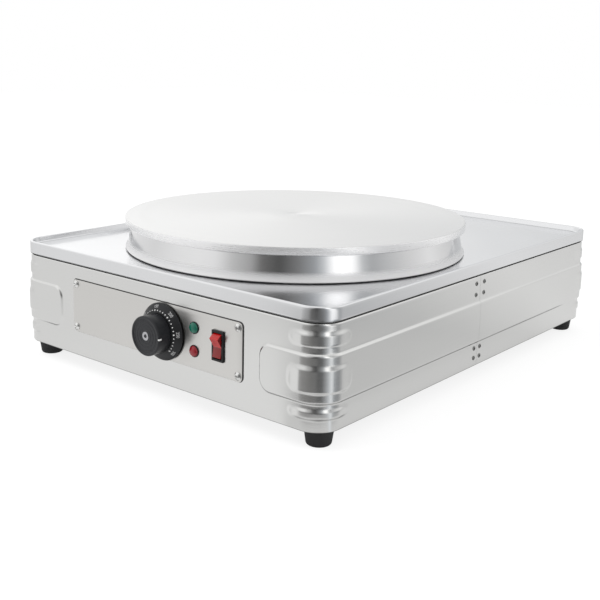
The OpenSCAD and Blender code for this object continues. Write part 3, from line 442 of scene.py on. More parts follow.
# Each look: its name, colour and lowest and highest roughness, then what its kind asks for.
LOOKS = {name: make(Graph(bpy.data.materials.new(name)), *values) for make, rows in {sheet_steel: [
    ("casing_steel", (0.71, 0.71, 0.7), (0.15, 0.22), (6, 6, 900), 0.003, 0.25, 0.65),
    ("deck_steel", (0.765, 0.77, 0.78), (0.12, 0.18), (500, 5, 5), 0.0015, 0.35),
    ("panel_steel", (0.67, 0.66, 0.64), (0.28, 0.34), (8, 8, 1500), 0.0015, 0, 0.6),
    ("fastener_steel", (0.76, 0.76, 0.75), (0.16, 0.26), (300, 300, 300), 0.004),
    ("plate_side", (0.8, 0.8, 0.805), (0.11, 0.16), (30, 30, 700), 0.001, 0, 0.5, 1,
     (SATIN_FROM, SATIN_TO, 0.38, 0.3)),
    ("plate_rim", (0.93, 0.93, 0.935), (0.25, 0.3), (30, 30, 900), 0.002, 0, 0.4, 0.5),
], turned: [
    ("plate_top", (0.79, 0.79, 0.785), (0.34, 0.42), 1.1, 0.006, PLATE_CENTRE, "Z", 0.55),
    ("plate_centre", (0.86, 0.86, 0.855), (0.26, 0.34), 0.5, 0.004, PLATE_CENTRE),
    ("knob_silver", (0.5, 0.5, 0.52), (0.3, 0.4), 0.3, 0.006, KNOB_CENTRE, "Y"),
], speckled: [
    ("inner_steel", (0.6, 0.61, 0.62), (0.35, 0.5), 160, 0.01, 1),
    ("element_steel", (0.22, 0.2, 0.19), (0.4, 0.6), 240, 0.02, 1),
    ("rivet_steel", (0.24, 0.24, 0.235), (0.3, 0.42), 700, 0.01, 1),
    # the rivets' mandrels, and painted shade in the screws' cross recesses and round their heads
    ("mandrel", (0.05, 0.05, 0.05), (0.35, 0.5), 900, 0.02, 1),
    # painted shade: dark edges that stand in for the shadow gaps under the panel and under the deck's skirt
    ("cut_edge", (0.035, 0.034, 0.033), (0.5, 0.65), 600, 0.02),
    ("insulation_felt", (0.86, 0.84, 0.77), (0.85, 0.95), 700, 0.3),
    ("brass", (0.8, 0.6, 0.3), (0.25, 0.38), 300, 0.008, 1),
    ("capillary_copper", (0.75, 0.44, 0.3), (0.28, 0.4), 400, 0.006, 1),
    ("thermostat_case", (0.8, 0.76, 0.68), (0.5, 0.65), 500, 0.02),
    ("terminal_ceramic", (0.88, 0.87, 0.83), (0.45, 0.6), 500, 0.02),
], moulded: [
    ("rubber_black", (0.022, 0.022, 0.023), (0.5, 0.66), 1400, 0.05),
    ("dial_black", (0.016, 0.0165, 0.018), (0.36, 0.46), 2600, 0.012, 0, 0.3),
    ("switch_black", (0.014, 0.014, 0.0145), (0.4, 0.5), 2600, 0.015, 0, 0.3),
    ("gland_black", (0.03, 0.03, 0.03), (0.4, 0.5), 2200, 0.02),
    ("knob_face", (0.02, 0.021, 0.024), (0.3, 0.4), 2600, 0.01, 0, 0.35),
    ("pointer_white", (0.86, 0.86, 0.85), (0.3, 0.4), 3000, 0.006),
    ("scale_white", (0.8, 0.8, 0.79), (0.4, 0.5), 3000, 0.004),
    ("scale_grey", (0.56, 0.56, 0.56), (0.4, 0.5), 3000, 0.004),
    ("lens_green", (0.003, 0.13, 0.085), (0.14, 0.22), 900, 0.01, 0.1),
    ("lens_red", (0.27, 0.008, 0.016), (0.14, 0.22), 900, 0.01, 0.2),
    ("rocker_red", (0.5, 0.006, 0.006), (0.14, 0.2), 900, 0.006, 0.25),
    # painted shade: the rocker's lower half and sides, sunk in the frame
    ("rocker_deep", (0.21, 0.003, 0.003), (0.12, 0.18), 900, 0.006, 0.3),
]}.items() for name, *values in rows}

for subpart in frame["record"]["subparts"]:
    for material_slot in frame["nodes"][subpart["node"]].material_slots:
        material_slot.material = LOOKS.get(subpart["material_slot"], LOOKS["dial_black"])


# ----- casing shells -----

BAND_DROP, BAND_HALF, BAND_H, BAND_OPEN, BAND_END_R = 1, 24.1, 2, 148.25, 14
PAD_H, PAD_REACH, PAD_END = 1.2, 15, 0.3  # the pads sink to this share of their height at their ends
UPPER_HALF, MIDDLE_HALF, LOWER_HALF, MIDDLE_END_R = 8, 13.75, 6, 10
UPPER_GAP, LOWER_GAP = 5.3, 3
SLOPE, PAD_TOP_SLOPE = 2.4, 5.5  # width of the pressed slopes; the pads lean in more at the top
WALL_BEND, BASE_BEND = 2.5, 1
BASE_EDGE = WALL_X - box("base_plate")[1].x - 0.1  # the base plate lies inside the shells' hem
TOP_FLANGE, BASE_FLANGE = 24, 12
FINE, COARSE = 1, 9  # spacing of the columns
ROW = 1.15  # spacing of the rows

RUN_X = WALL_X - WALL_R  # half of the flat front
RUN_Y = WALL_Y - WALL_R  # half of the flat side
ARC_L = pi / 2 * WALL_R
AROUND = 4 * (RUN_X + RUN_Y + ARC_L)
CORNERS = [RUN_X + ARC_L / 2, RUN_X + 1.5 * ARC_L + 2 * RUN_Y]
CORNERS += [AROUND - s for s in CORNERS]
BAND_MID = (WALL_LOW.z + WALL_HIGH.z) / 2 - BAND_DROP
UPPER_MID = BAND_MID + BAND_HALF + UPPER_GAP + UPPER_HALF
LOWER_MID = BAND_MID - BAND_HALF - LOWER_GAP - LOWER_HALF
# Middle, half height and end radius of the three rows of corner pads
PADS = [(UPPER_MID, UPPER_HALF, UPPER_HALF), (BAND_MID, MIDDLE_HALF, MIDDLE_END_R),
        (LOWER_MID, LOWER_HALF, LOWER_HALF)]


def outline(s):
    """Point and outward direction on the walls, s along from the middle of the front to the right."""
    s %= AROUND
    side = -1 if s > AROUND / 2 else 1
    s = min(s, AROUND - s)
    past_corner, past_side = s - RUN_X - ARC_L, s - RUN_X - ARC_L - 2 * RUN_Y
    if s < RUN_X:
        return side * s, -WALL_Y, 0, -1
    if past_side > ARC_L:
        return side * (AROUND / 2 - s), WALL_Y, 0, 1
    if 0 <= past_corner < 2 * RUN_Y:
        return side * WALL_X, past_corner - RUN_Y, side, 0
    a = (s - RUN_X) / WALL_R - pi / 2 if past_corner < 0 else past_side / WALL_R
    centre_y = -RUN_Y if past_corner < 0 else RUN_Y
    return side * (RUN_X + WALL_R * cos(a)), centre_y + WALL_R * sin(a), side * cos(a), sin(a)


def depth_inside(u, v, half_u, half_v, radius):
    """How far a point lies inside a rounded rectangle."""
    qu, qv = abs(u) - half_u + radius, abs(v) - half_v + radius
    return radius - hypot(max(qu, 0), max(qv, 0)) - min(max(qu, qv), 0)


def share(value, low=0, high=1):
    """How far a value lies from low to high, from 0 to 1."""
    return min(max((value - low) / (high - low), 0), 1)


def pressed(depth, height, slope=SLOPE):
    """Height of a pressed form, with a soft foot and a soft shoulder."""
    t = share(depth, 0, slope)
    return height * t * t * (3 - 2 * t)


def embossing(s, z):
    """How far the wall stands proud."""
    s %= AROUND
    front = min(s, AROUND - s)
    band = depth_inside(AROUND / 2 - front, z - BAND_MID, AROUND / 2 - BAND_OPEN, BAND_HALF, BAND_END_R)
    proud = pressed(band, BAND_H)
    off = min(abs(s - c) for c in CORNERS)
    reach = ARC_L / 2 + PAD_REACH
    if off < reach:
        height = PAD_H * (1 - (1 - PAD_END) * pressed(off - ARC_L / 2 + 1, 1, PAD_REACH - 3))
        for middle, half, end_r in PADS:
            slope = SLOPE + (PAD_TOP_SLOPE - SLOPE) * share((z - middle) / half * 1.5)
            proud += pressed(depth_inside(off, z - middle, reach, half, end_r), height, slope)
    return proud


def columns(start, end, breaks):
    """Places of the columns, close together where the wall is curved or where the band ends."""
    zones = [(c - ARC_L / 2 - PAD_REACH - 1, c + ARC_L / 2 + PAD_REACH + 1) for c in CORNERS]
    band_end = (BAND_OPEN - 1, BAND_OPEN + BAND_END_R + 2)
    zones += [band_end, (AROUND - band_end[1], AROUND - band_end[0])]
    zones += [(low - AROUND, high - AROUND) for low, high in zones]
    marks = sorted({start, end, *(mark for zone in zones for mark in zone if start < mark < end)})
    places = []
    for low, high in zip(marks, marks[1:]):
        middle = (low + high) / 2
        spacing = FINE if any(zone[0] < middle < zone[1] for zone in zones) else COARSE
        count = max(1, round((high - low) / spacing))
        places += [low + (high - low) * i / count for i in range(count)]
    places.append(end)
    for mark in breaks:
        places = [p for p in places if abs(p - mark) > FINE * 0.6 or p in (start, end)] + [mark]
    return sorted(places)


def wall_rows(breaks):
    """(inset, height, whether the embossing applies) from the top flange down to the base flange."""
    top, base = WALL_HIGH.z - WALL_BEND, WALL_LOW.z + BASE_BEND
    lying = box("base_plate")[1].z + 0.03  # the flange lies on the base plate
    above = [(inset, WALL_HIGH.z) for inset in (TOP_FLANGE, 16, 8, WALL_BEND + 1)]
    above += arc(WALL_BEND, top, WALL_BEND, 90, 180, 6)
    below = arc(BASE_BEND, base, BASE_BEND, 180, 270, 4)
    below += [(BASE_EDGE, WALL_LOW.z), (BASE_EDGE, lying), (BASE_FLANGE, lying)]
    count = round((top - base) / ROW)
    heights = [top - (top - base) * i / count for i in range(1, count)]
    for b in breaks:
        heights = [h for h in heights if abs(h - b) > ROW * 0.6] + [b]
    return ([(*row, False) for row in above] + [(0, h, True) for h in sorted(heights, reverse=True)]
            + [(*row, False) for row in below])


def wall_skin(name, start, end, windows, cutters, replaced):
    """One shell of the casing. Windows are rectangles left open, as (low s, low z, high s, high z)."""
    cols = columns(start, end, [w[i] for w in windows for i in (0, 2)])
    rows = wall_rows([w[i] for w in windows for i in (1, 3)])
    verts, faces = [], []
    for inset, z, embossed in rows:
        for s in cols:
            x, y, nx, ny = outline(s)
            out = embossing(s, z) - inset if embossed else -inset
            verts.append((x + nx * out, y + ny * out, z))
    n = len(cols)
    for i in range(len(rows) - 1):
        z = (rows[i][1] + rows[i + 1][1]) / 2
        for j in range(n - 1):
            s = (cols[j] + cols[j + 1]) / 2
            if not any(w[0] < s < w[2] and w[1] < z < w[3] for w in windows):
                faces.append((i * n + j, i * n + j + 1, (i + 1) * n + j + 1, (i + 1) * n + j))
    shell = as_sheet(mesh_object(name, verts, faces), SHEET)
    dress(combine(shell, *cutters), 40, "casing_steel", replaced)


def as_sheet(obj, thickness):
    """Gives a skin the thickness of its sheet, towards the middle of the part."""
    if sum(p.normal.dot(p.center) * p.area for p in obj.data.polygons) < 0:
        obj.data.flip_normals()
    return modify(obj, "SOLIDIFY", thickness=thickness * MM, offset=-1, use_even_offset=True)


def front_windows():
    """Windows in the front wall round what passes through it."""
    low, high = box("thermostat_nut")
    middle, across = (low + high) / 2, (high.z - low.z) / 2 - 2
    windows = [(middle.x - across, middle.z - across, middle.x + across, middle.z + across)]
    for node, spare_x, spare_z in (("green_lamp_body", 0.2, 0.2), ("red_lamp_body", 0.2, 0.2),
                                   ("switch_frame", -0.7, -1.2)):
        low, high = box(node)
        windows.append((low.x - spare_x, low.z - spare_z, high.x + spare_x, high.z + spare_z))
    return windows


def rear_holes():
    """Cutters for the gland's and the earth stud's holes."""
    wall_y = box("rear_shell")[1].y
    return [rod("cutter", bore / 2, 40, 48, at(middle.x, wall_y + 20, middle.z, 90))
            for middle, bore in ((middle_of("cable_gland"), 16.1), (middle_of("earth_stud"), 6.1))]


SEAM_S = RUN_X + ARC_L + RUN_Y + SEAM_Y
wall_skin("front_casing_shell", -SEAM_S + SEAM_GAP, SEAM_S - SEAM_GAP, front_windows(), [], "front_shell")
wall_skin("rear_casing_shell", SEAM_S + SEAM_GAP, AROUND - SEAM_S - SEAM_GAP, [], rear_holes(), "rear_shell")


# ----- deck -----

RIM_W, RIM_ROUND, RIM_INNER_ROUND, FLOOR_FILLET, RIM_DRAFT = 3.4, 1.7, 1, 1.6, 12
FLOOR_DROP = 6.5
FLOOR_Z = DECK_HIGH.z - FLOOR_DROP
LIP_Z = DECK_LOW.z + 0.6  # below this the skirt's lower lip is painted dark: painted shade of the gap under it
FLOOR_WAVE = 0.16  # how much the thin floor waves, up or down
STUD_HOLE_R, LEG_HOLE_R, TUBE_HOLE_R = 4.2, 6.4, 3
STUD_R, ELEMENT_R, LEG_APART, TUBE_R = 4, 4.25, 9, 3


def deck_loop(inset):
    return rounded_rect(DECK_HIGH.x - inset, DECK_HIGH.y - inset, DECK_CORNER_R - inset, 20)


def deck_profile():
    """(inset, height) from the skirt's lower edge over the rim to the floor."""
    low, round_z = DECK_LOW.z, DECK_HIGH.z - RIM_ROUND
    points = [(DECK_SHEET, low + 0.5), (0.35, low), (0.08, low + 0.12), (0, LIP_Z)]
    points += [(0, low + (round_z - low) * i / 5) for i in range(1, 5)]
    points += arc(RIM_ROUND, round_z, RIM_ROUND, 180, 90, 8)
    points += arc(RIM_W - RIM_INNER_ROUND, DECK_HIGH.z - RIM_INNER_ROUND, RIM_INNER_ROUND, 90, RIM_DRAFT, 5)
    draft = radians(RIM_DRAFT)
    fall = points[-1][1] - FLOOR_Z - FLOOR_FILLET * (1 - sin(draft))
    middle = points[-1][0] + fall * tan(draft) + FLOOR_FILLET * cos(draft)
    return points + arc(middle, FLOOR_Z + FLOOR_FILLET, FLOOR_FILLET, 180 + RIM_DRAFT, 270, 5)


FLOOR_INSET = deck_profile()[-1][0]


def floor_height(x, y):
    """The floor is slightly uneven, but not at its edge or under the plate."""
    edge = min(DECK_HIGH.x - abs(x), DECK_HIGH.y - abs(y)) - FLOOR_INSET
    fade = share(edge, 0, 25) * share(dist((x, y), PLATE_CENTRE.xy) - PLATE_R + 20, 0, 30)
    return FLOOR_Z + FLOOR_WAVE * fade * (sin(x / 31 + 1.2) * cos(y / 43) + 0.6 * sin((x + y) / 19))


def under_plate_holes():
    """Holes in the deck for the studs, the elements' legs and the capillary tube."""
    studs = box("plate_studs")[1].x - STUD_R
    holes = [circle(sx * studs, PLATE_CENTRE.y + sy * studs, STUD_HOLE_R, 20)
             for sx in (-1, 1) for sy in (-1, 1)]
    for node in ("inner_heating_element", "outer_heating_element"):
        ring_r = box(node)[1].x - ELEMENT_R
        holes += [circle(-ring_r, PLATE_CENTRE.y + side * LEG_APART, LEG_HOLE_R, 20) for side in (-1, 1)]
    return holes + [circle(KNOB_CENTRE.x, box("thermostat_capillary")[1].y - TUBE_R, TUBE_HOLE_R, 16)]


mesh = skin([[(x, y, z) for x, y in deck_loop(inset)] for inset, z in deck_profile()])
flat, triangles = fill([deck_loop(FLOOR_INSET), *under_plate_holes()], 9, 3)
extend(mesh, [(x, y, floor_height(x, y)) for x, y in flat], triangles)
deck = as_sheet(mesh_object("deck_tray", *mesh, weld=0.001), DECK_SHEET)
# The skirt's lower lip is painted dark: painted shade of the gap between the skirt and the walls.
dress(deck, 50, "deck_steel", "deck_cover", ("deck_steel", "cut_edge"),
      paint=lambda middle, normal: middle.z < LIP_Z)


# ----- cooking plate -----

PLATE_T, EDGE_H, WAIST, PLATE_WALL, CENTRE_R = 12, 8.1, 5, 9, 10
FOOT_W, FOOT_RISE, COVE_W, COVE_RISE = 0.7, 1.1, 1.6, 2.2
FOOT_LEAN, WAIST_LEAN, FLARE_TOP = 37, 11.5, 8.5  # degrees that the side leans in, and the flare's height
EDGE_ROUND, UNDER_ROUND = 1, 0.3


def plate_profile():
    """(radius, height) of the plate, from its lip round the outside, over the top and back inside."""
    base, top = PLATE_LOW.z, PLATE_HIGH.z
    low, rim, steps = base + FOOT_RISE, top - EDGE_H, 40
    outer = arc(PLATE_R - FOOT_W, low, FOOT_W, -90, 0, 16, FOOT_RISE)
    radius, rise = PLATE_R, (rim - COVE_RISE - low) / steps
    for i in range(steps):
        lean = FOOT_LEAN + (WAIST_LEAN - FOOT_LEAN) * share((i + 0.5) * rise, 0, FLARE_TOP - FOOT_RISE)
        radius -= rise * tan(radians(lean))
        outer.append((radius, low + rise * (i + 1)))
    outer += arc(radius + COVE_W, rim - COVE_RISE, COVE_W, 180, 90, 10, COVE_RISE)[1:]
    outer += arc(PLATE_R - UNDER_ROUND, rim + UNDER_ROUND, UNDER_ROUND, -90, 0, 4)
    outer += arc(PLATE_R - EDGE_ROUND, top - EDGE_ROUND, EDGE_ROUND, 0, 90, 6)
    outer += [(PLATE_R - EDGE_ROUND - step, top) for step in (1, 4, 20, 60, 110, 160)]
    centre = [(CENTRE_R + 0.3, top), (CENTRE_R, top - 0.12), (CENTRE_R - 0.4, top - 0.3),
              (2.2, top - 0.3), (1.2, top - 0.9), (0, top - 1.2)]
    cavity, ceiling = PLATE_R - WAIST - PLATE_WALL, top - PLATE_T
    return outer + centre + [(0, ceiling)] + arc(cavity - 6, ceiling - 6, 6, 90, 0, 8) + [(cavity + 3, base)]


def plate_look(middle, normal):
    radius, top = (middle - PLATE_CENTRE).xy.length, PLATE_HIGH.z
    if middle.z > top - EDGE_ROUND * 0.4:
        return 0
    if middle.z > top - 2 and radius < CENTRE_R:
        return 2
    return 3 if radius > PLATE_R - WAIST + 1 and middle.z > top - EDGE_H + 0.05 else 1


plate = lathe("turned_cooking_plate", plate_profile(), 288, at(PLATE_CENTRE.x, PLATE_CENTRE.y, 0))
dress(plate, 28, "plate_aluminium", "cooking_plate",
      ("plate_top", "plate_side", "plate_centre", "plate_rim"), paint=plate_look)


# ----- control panel -----

PANEL_R, PANEL_BEVEL = 5.5, 0.45
PANEL_MID, PANEL_HALF = (PANEL_LOW + PANEL_HIGH) / 2, (PANEL_HIGH - PANEL_LOW) / 2
PANEL_T = PANEL_HIGH.y - PANEL_LOW.y
SCREW_INSET, HEAD_R, HEAD_H, SHANK_R, SHANK_L = 6.25, 4.2, 2.6, 1.6, 7.2
NECK_HOLE_R = 5.05  # round the thermostat's neck and the lamps
SWITCH_HOLE = 7.1, 14.3  # half width and half height


def panel_loops(inset):
    """The panel's edge and its holes, at a distance in from the edge."""
    switch = middle_of("switch_frame") - PANEL_MID
    return [rounded_rect(PANEL_HALF.x - inset, PANEL_HALF.z - inset, PANEL_R - inset, 10),
            *[circle(p.x - PANEL_MID.x, p.z - PANEL_MID.z, NECK_HOLE_R - inset * 0.2, 28)
              for p in (KNOB_CENTRE, middle_of("green_lamp_body"), middle_of("red_lamp_body"))],
            [(x + switch.x, z + switch.z) for x, z in rounded_rect(*SWITCH_HOLE, 0.5, 2)]]


def panel_shadow_faces(middle, normal):
    """The panel's sides, and the bevels that face right or up, are painted dark: painted shadow of the gap
    between the panel and the wall.
    """
    at_edge = (abs(middle.x - PANEL_MID.x) > PANEL_HALF.x - PANEL_R
               or abs(middle.z - PANEL_MID.z) > PANEL_HALF.z - PANEL_R)
    leaning = normal.y > -0.97 and (normal.x > 0.2 or normal.z > 0.2)
    return PANEL_LOW.y + PANEL_BEVEL < middle.y < PANEL_HIGH.y - 0.01 or at_edge and leaning


levels = [(0, 0)] + arc(2 * PANEL_BEVEL, PANEL_T - PANEL_BEVEL, PANEL_BEVEL, 180, 90, 3)
mesh = [], []
for rings in zip(*[[[(x, y, z) for x, y in loop] for loop in panel_loops(inset)] for inset, z in levels]):
    extend(mesh, *skin(rings))
for inset, z in (levels[0], levels[-1]):
    flat, triangles = fill(panel_loops(inset), 12)
    extend(mesh, [(x, y, z) for x, y in flat], triangles)
panel = mesh_object("control_panel_plate", *mesh, on_front("control_panel"), 0.001)
# The panel's sides and its right and upper bevels are painted dark: painted shadow.
dress(panel, 30, "panel_steel", "control_panel", ("panel_steel", "cut_edge"), paint=panel_shadow_faces)


def screw_head(matrix, turn):
    """Pan-head screw with a tapered cross recess."""
    ball = (HEAD_R * HEAD_R + HEAD_H * HEAD_H * 0.64) / (1.6 * HEAD_H)
    edge = HEAD_H - ball + sqrt(ball * ball - (HEAD_R - 0.25) ** 2)
    shank = [(0, -SHANK_L), (SHANK_R - 0.4, -SHANK_L), (SHANK_R, -SHANK_L + 0.5), (SHANK_R, 0)]
    rim = [(HEAD_R - 0.12, 0), (HEAD_R, 0.15), (HEAD_R, edge - 0.15)]
    dome = arc(0, HEAD_H - ball, ball, 90 - degrees(asin((HEAD_R - 0.25) / ball)), 90, 10)
    screw = lathe("screw", shank + rim + dome, 40, matrix)
    cutters = []
    wide, deep, thin = HEAD_R * 0.58, HEAD_H * 0.75, HEAD_R * 0.16
    for a in (turn, turn + 90):
        verts = [(sx * wide * taper, sy * thin * narrow, z)
                 for z, taper, narrow in ((HEAD_H + 1, 1, 1), (HEAD_H - deep, 0.35, 0.7))
                 for sx, sy in CORNER_SIGNS]
        faces = [(0, 1, 2, 3), (7, 6, 5, 4), (0, 4, 5, 1), (1, 5, 6, 2), (2, 6, 7, 3), (3, 7, 4, 0)]
        cutters.append(mesh_object("cutter", verts, faces, matrix @ Matrix.Rotation(radians(a), 4, "Z")))
    combine(screw, *cutters)
    to_local = matrix.inverted()
    for face in screw.data.polygons:
        x, y, z = to_local @ face.center / MM
        near = hypot(x, y)
        sunk = 0 < z < HEAD_H - ball + sqrt(ball * ball - near * near) - 0.06
        # The cross recess and the head's side are painted dark: painted shade.
        face.material_index = 1 if sunk and near < HEAD_R - 0.5 or near > HEAD_R - 0.2 else 0
    return screw


screws = []
for number, (sx, sz) in enumerate(CORNER_SIGNS):
    matrix = at(PANEL_MID.x + sx * (PANEL_HALF.x - SCREW_INSET), PANEL_LOW.y,
                PANEL_MID.z + sz * (PANEL_HALF.z - SCREW_INSET), 90)
    screws.append(screw_head(matrix, 17 + 31 * number))
# The screws' dark second look is painted shade in the recesses and round the heads.
dress(join("control_panel_screws", screws), 32, "fastener_steel", "panel_screws",
      ("fastener_steel", "mandrel"))


# ----- thermostat dial and knob -----

DIAL_R, DIAL_T = (DIAL_HIGH.x - DIAL_LOW.x) / 2, DIAL_HIGH.y - DIAL_LOW.y
DIAL_RIM_T = 2.5
DIAL_TOP_R = KNOB_R + 1.8
NUT_FLATS = 14
HUB_R = NUT_FLATS / 2 / cos(radians(30)) + 0.3
DIAL_MATRIX = on_front("dial_bezel")
SCALE_START, SCALE_STEP, SCALE_LABELS = -107, 48, ("50", "100", "150", "200", "250", "300")
DOTS_PER_STEP, DOT_SIDES = 5, 14
DOT_CIRCLE_R, DOT_R, BIG_DOT_R, DOT_H = 23.2, 0.62, 0.8, 0.1
LABEL_R, LABEL_H = 26.6, 4.7  # middle radius and height of the numerals


def dial_height(radius):
    """Height of the dial's slope at a radius."""
    return DIAL_RIM_T + (DIAL_T - DIAL_RIM_T) * share(radius, DIAL_R, DIAL_TOP_R)


def on_dial(angle, radius, height):
    """Point on the dial: the angle runs clockwise from the top as seen from the front."""
    a = radians(90 - angle)
    return Vector((radius * cos(a), radius * sin(a), height))


profile = [(NECK_HOLE_R, 0), (DIAL_R - 3.4, 0), (DIAL_R - 0.5, DIAL_RIM_T - 1.3),
           (DIAL_R - 0.1, DIAL_RIM_T - 0.9), (DIAL_R, DIAL_RIM_T - 0.5)]
profile += [(r, dial_height(r)) for r in (DIAL_R - 0.5, DIAL_R - 2.5, DIAL_R - 4.5, DIAL_TOP_R + 0.5)]
profile += [(DIAL_TOP_R - 0.1, DIAL_T - 0.08), (DIAL_TOP_R - 0.4, DIAL_T), (HUB_R + 0.3, DIAL_T),
            (HUB_R, DIAL_T - 0.3), (HUB_R, 1.5), (NECK_HOLE_R, 1.5)]
dress(lathe("thermostat_dial", profile, 128, DIAL_MATRIX), 40, "dial_black", "dial_bezel")

# Printed dots on the slope
mesh = [], []
fall = (DIAL_T - DIAL_RIM_T) / (DIAL_R - DIAL_TOP_R)
for i in range((len(SCALE_LABELS) - 1) * DOTS_PER_STEP + 1):
    angle = SCALE_START + i * SCALE_STEP / DOTS_PER_STEP
    middle = on_dial(angle, DOT_CIRCLE_R, dial_height(DOT_CIRCLE_R) - 0.03)
    outward = on_dial(angle, 1, 0)
    dot_r = DOT_R if i % DOTS_PER_STEP else BIG_DOT_R
    loops = [[middle + Vector((x, y, DOT_H * lift - fall * (outward.x * x + outward.y * y)))
              for x, y in circle(0, 0, dot_r * size, DOT_SIDES)] for size, lift in ((1, 0), (0.8, 0.7))]
    verts, faces = skin(loops)
    rim = range(DOT_SIDES, 2 * DOT_SIDES)
    faces += [(j, rim[(j + 1) % DOT_SIDES], 2 * DOT_SIDES) for j in rim] + [range(DOT_SIDES)]
    extend(mesh, verts + [middle + Vector((0, 0, DOT_H))], faces)
dress(mesh_object("dial_dots", *mesh, DIAL_MATRIX), 60, "dial_black", looks=("scale_white",))

# Plain numerals bent round the slope
slope = Vector((DIAL_TOP_R - DIAL_R, DIAL_T - DIAL_RIM_T)).normalized()
numerals = []
for i, label in enumerate(SCALE_LABELS):
    text = bpy.data.curves.new("numeral", "FONT")
    text.body, text.size, text.align_x, text.align_y, text.extrude = label, LABEL_H, "CENTER", "CENTER", 0.06
    holder = new_object("numeral", text)
    numeral = bpy.data.meshes.new_from_object(holder.evaluated_get(bpy.context.evaluated_depsgraph_get()))
    bpy.data.objects.remove(holder)
    for v in numeral.vertices:
        angle = SCALE_START + i * SCALE_STEP + degrees(v.co.x * 0.86 / LABEL_R)
        radius = LABEL_R - v.co.y * slope.x
        v.co = DIAL_MATRIX @ (MM * on_dial(angle, radius, dial_height(radius) + v.co.z + 0.02))
    numerals.append(new_object("numeral", numeral))
dress(join("dial_numerals", numerals), 30, "dial_black", looks=("scale_grey",))

KNOB_L = KNOB_HIGH.y - KNOB_LOW.y
KNOB_FACE, KNOB_BORE, CAP_SEAT, CAP_SEAT_R = KNOB_L - 0.8, KNOB_L - 7.2, KNOB_L - 1.6, 4.55
SPINDLE_HOLE_R = 3.05
GROOVES = 15.4, 11.6, 7.9  # radii of the grooves in the knob's face
CAP_DARK_R = 1.9  # dark middle of the disc in the knob's face

# Knob with a rounded face, fine grooves in it and a slot for its index mark
profile = [(SPINDLE_HOLE_R, 0), (KNOB_R - 0.9, 0), (KNOB_R - 0.3, 0.25), (KNOB_R - 0.1, 0.8),
           (KNOB_R, KNOB_L - 1.4)]
profile += arc(KNOB_R - 1.2, KNOB_L - 1.2, 1.2, 8, 90, 7)
profile += [(KNOB_R - 2.2, KNOB_L), (KNOB_R - 2.5, KNOB_L - 0.12), (KNOB_R - 3.1, KNOB_FACE)]
for groove_r in GROOVES:
    profile += [(groove_r + across, KNOB_FACE - deep)
                for across, deep in ((0.45, 0), (0.2, 0.22), (-0.2, 0.22), (-0.45, 0))]
profile += [(CAP_SEAT_R + 0.2, KNOB_FACE), (CAP_SEAT_R, KNOB_FACE - 0.15), (CAP_SEAT_R, CAP_SEAT),
            (0, CAP_SEAT), (0, KNOB_BORE), (SPINDLE_HOLE_R, KNOB_BORE)]
knob = lathe("thermostat_knob", profile, 128, on_front("knob_grip"))
low, high = box("knob_pointer")
combine(knob, block("cutter", low - Vector((0.05, 2, 0.05)), high + Vector((2, 0.05, 0.05))))
dress(knob, 38, "knob_black", "knob_grip", ("knob_face",), "knob")

# Index mark, rounded like the knob's edge
mark = soften(block("knob_index_mark", low, high), 0.25)
dress(mark, 40, "pointer_white", "knob_pointer", body="knob")

# Small plain disc in the knob's middle, slightly dished
low, high = box("knob_cap")
height, radius = high.y - low.y, (high.x - low.x) / 2
profile = [(0, 0), (radius - 0.15, 0), (radius, 0.15), (radius, height - 0.2), (radius - 0.25, height),
           (CAP_DARK_R + 0.3, height), (CAP_DARK_R, height - 0.25), (0, height - 0.35)]
cap = lathe("knob_centre_disc", profile, 64, on_front("knob_cap"))
dress(cap, 30, "knob_silver", "knob_cap", ("knob_silver", "knob_face"), "knob",
      lambda middle, normal: (middle - KNOB_CENTRE).xz.length < CAP_DARK_R)


# ----- lamps and switch -----

LENS_LIP_H = 0.89  # the lip below this height is black

for colour in ("green", "red"):
    # Lamp lens: a thin lip and a dome cut with rings
    node, lens_look = colour + "_lamp_lens", "lens_" + colour
    low, high = box(node)
    radius, height = (high.x - low.x) / 2, high.y - low.y
    profile = [(0, 0), (radius - 0.2, 0), (radius, 0.2), (radius, 0.65), (radius - 0.3, 0.85),
               (radius - 0.75, 0.85)]
    for i, (x, z) in enumerate(arc(0, 0, radius - 0.85, 0, 90, 12, 1)):
        profile.append((x, 0.95 + (height - 0.95 - (0.1 if i % 2 else 0)) * z))
    lens = lathe(colour + "_lamp_dome", profile, 64, on_front(node))
    dress(lens, 28, lens_look, node, (lens_look, "switch_black"),
          paint=lambda middle, normal: middle.y > high.y - LENS_LIP_H)

POCKET_FLOOR_Y, POCKET_HALF_H = -269.2, 13.3
PIVOT_R, PIVOT_L, PIVOT_BACK, PIN_R = 1.25, 13.6, 1.16, 1.2
ROCKER_R, ROCKER_TILT, ROCKER_MID, ROCKER_TIP = 13, 12, 4.8, 3.6

# Switch housing: a rounded bezel with a pocket for the rocker, and the body behind it
low, high = box("switch_frame")
middle, back = (low + high) / 2, low.y + 2
bezel = finish_mesh(soften(block("switch_housing", low, (high.x, back, high.z)), 0.7, 4))
combine(bezel, block("body", (low.x + 0.8, back - 0.6, low.z + 1.3), (high.x - 0.8, high.y, high.z - 1.3)),
        how="UNION")
pocket = block("cutter", (low.x + 2, low.y - 2, middle.z - POCKET_HALF_H),
               (high.x - 2, POCKET_FLOOR_Y, middle.z + POCKET_HALF_H))
combine(bezel, finish_mesh(soften(pocket, 0.5, 2)))
pivot_y = middle_of("rocker_button").y + PIVOT_BACK
combine(bezel, rod("cutter", PIVOT_R, PIVOT_L, 24, at(middle.x - PIVOT_L / 2, pivot_y, middle.z, 90, "Y")))
dress(bezel, 38, "switch_black", "switch_frame")

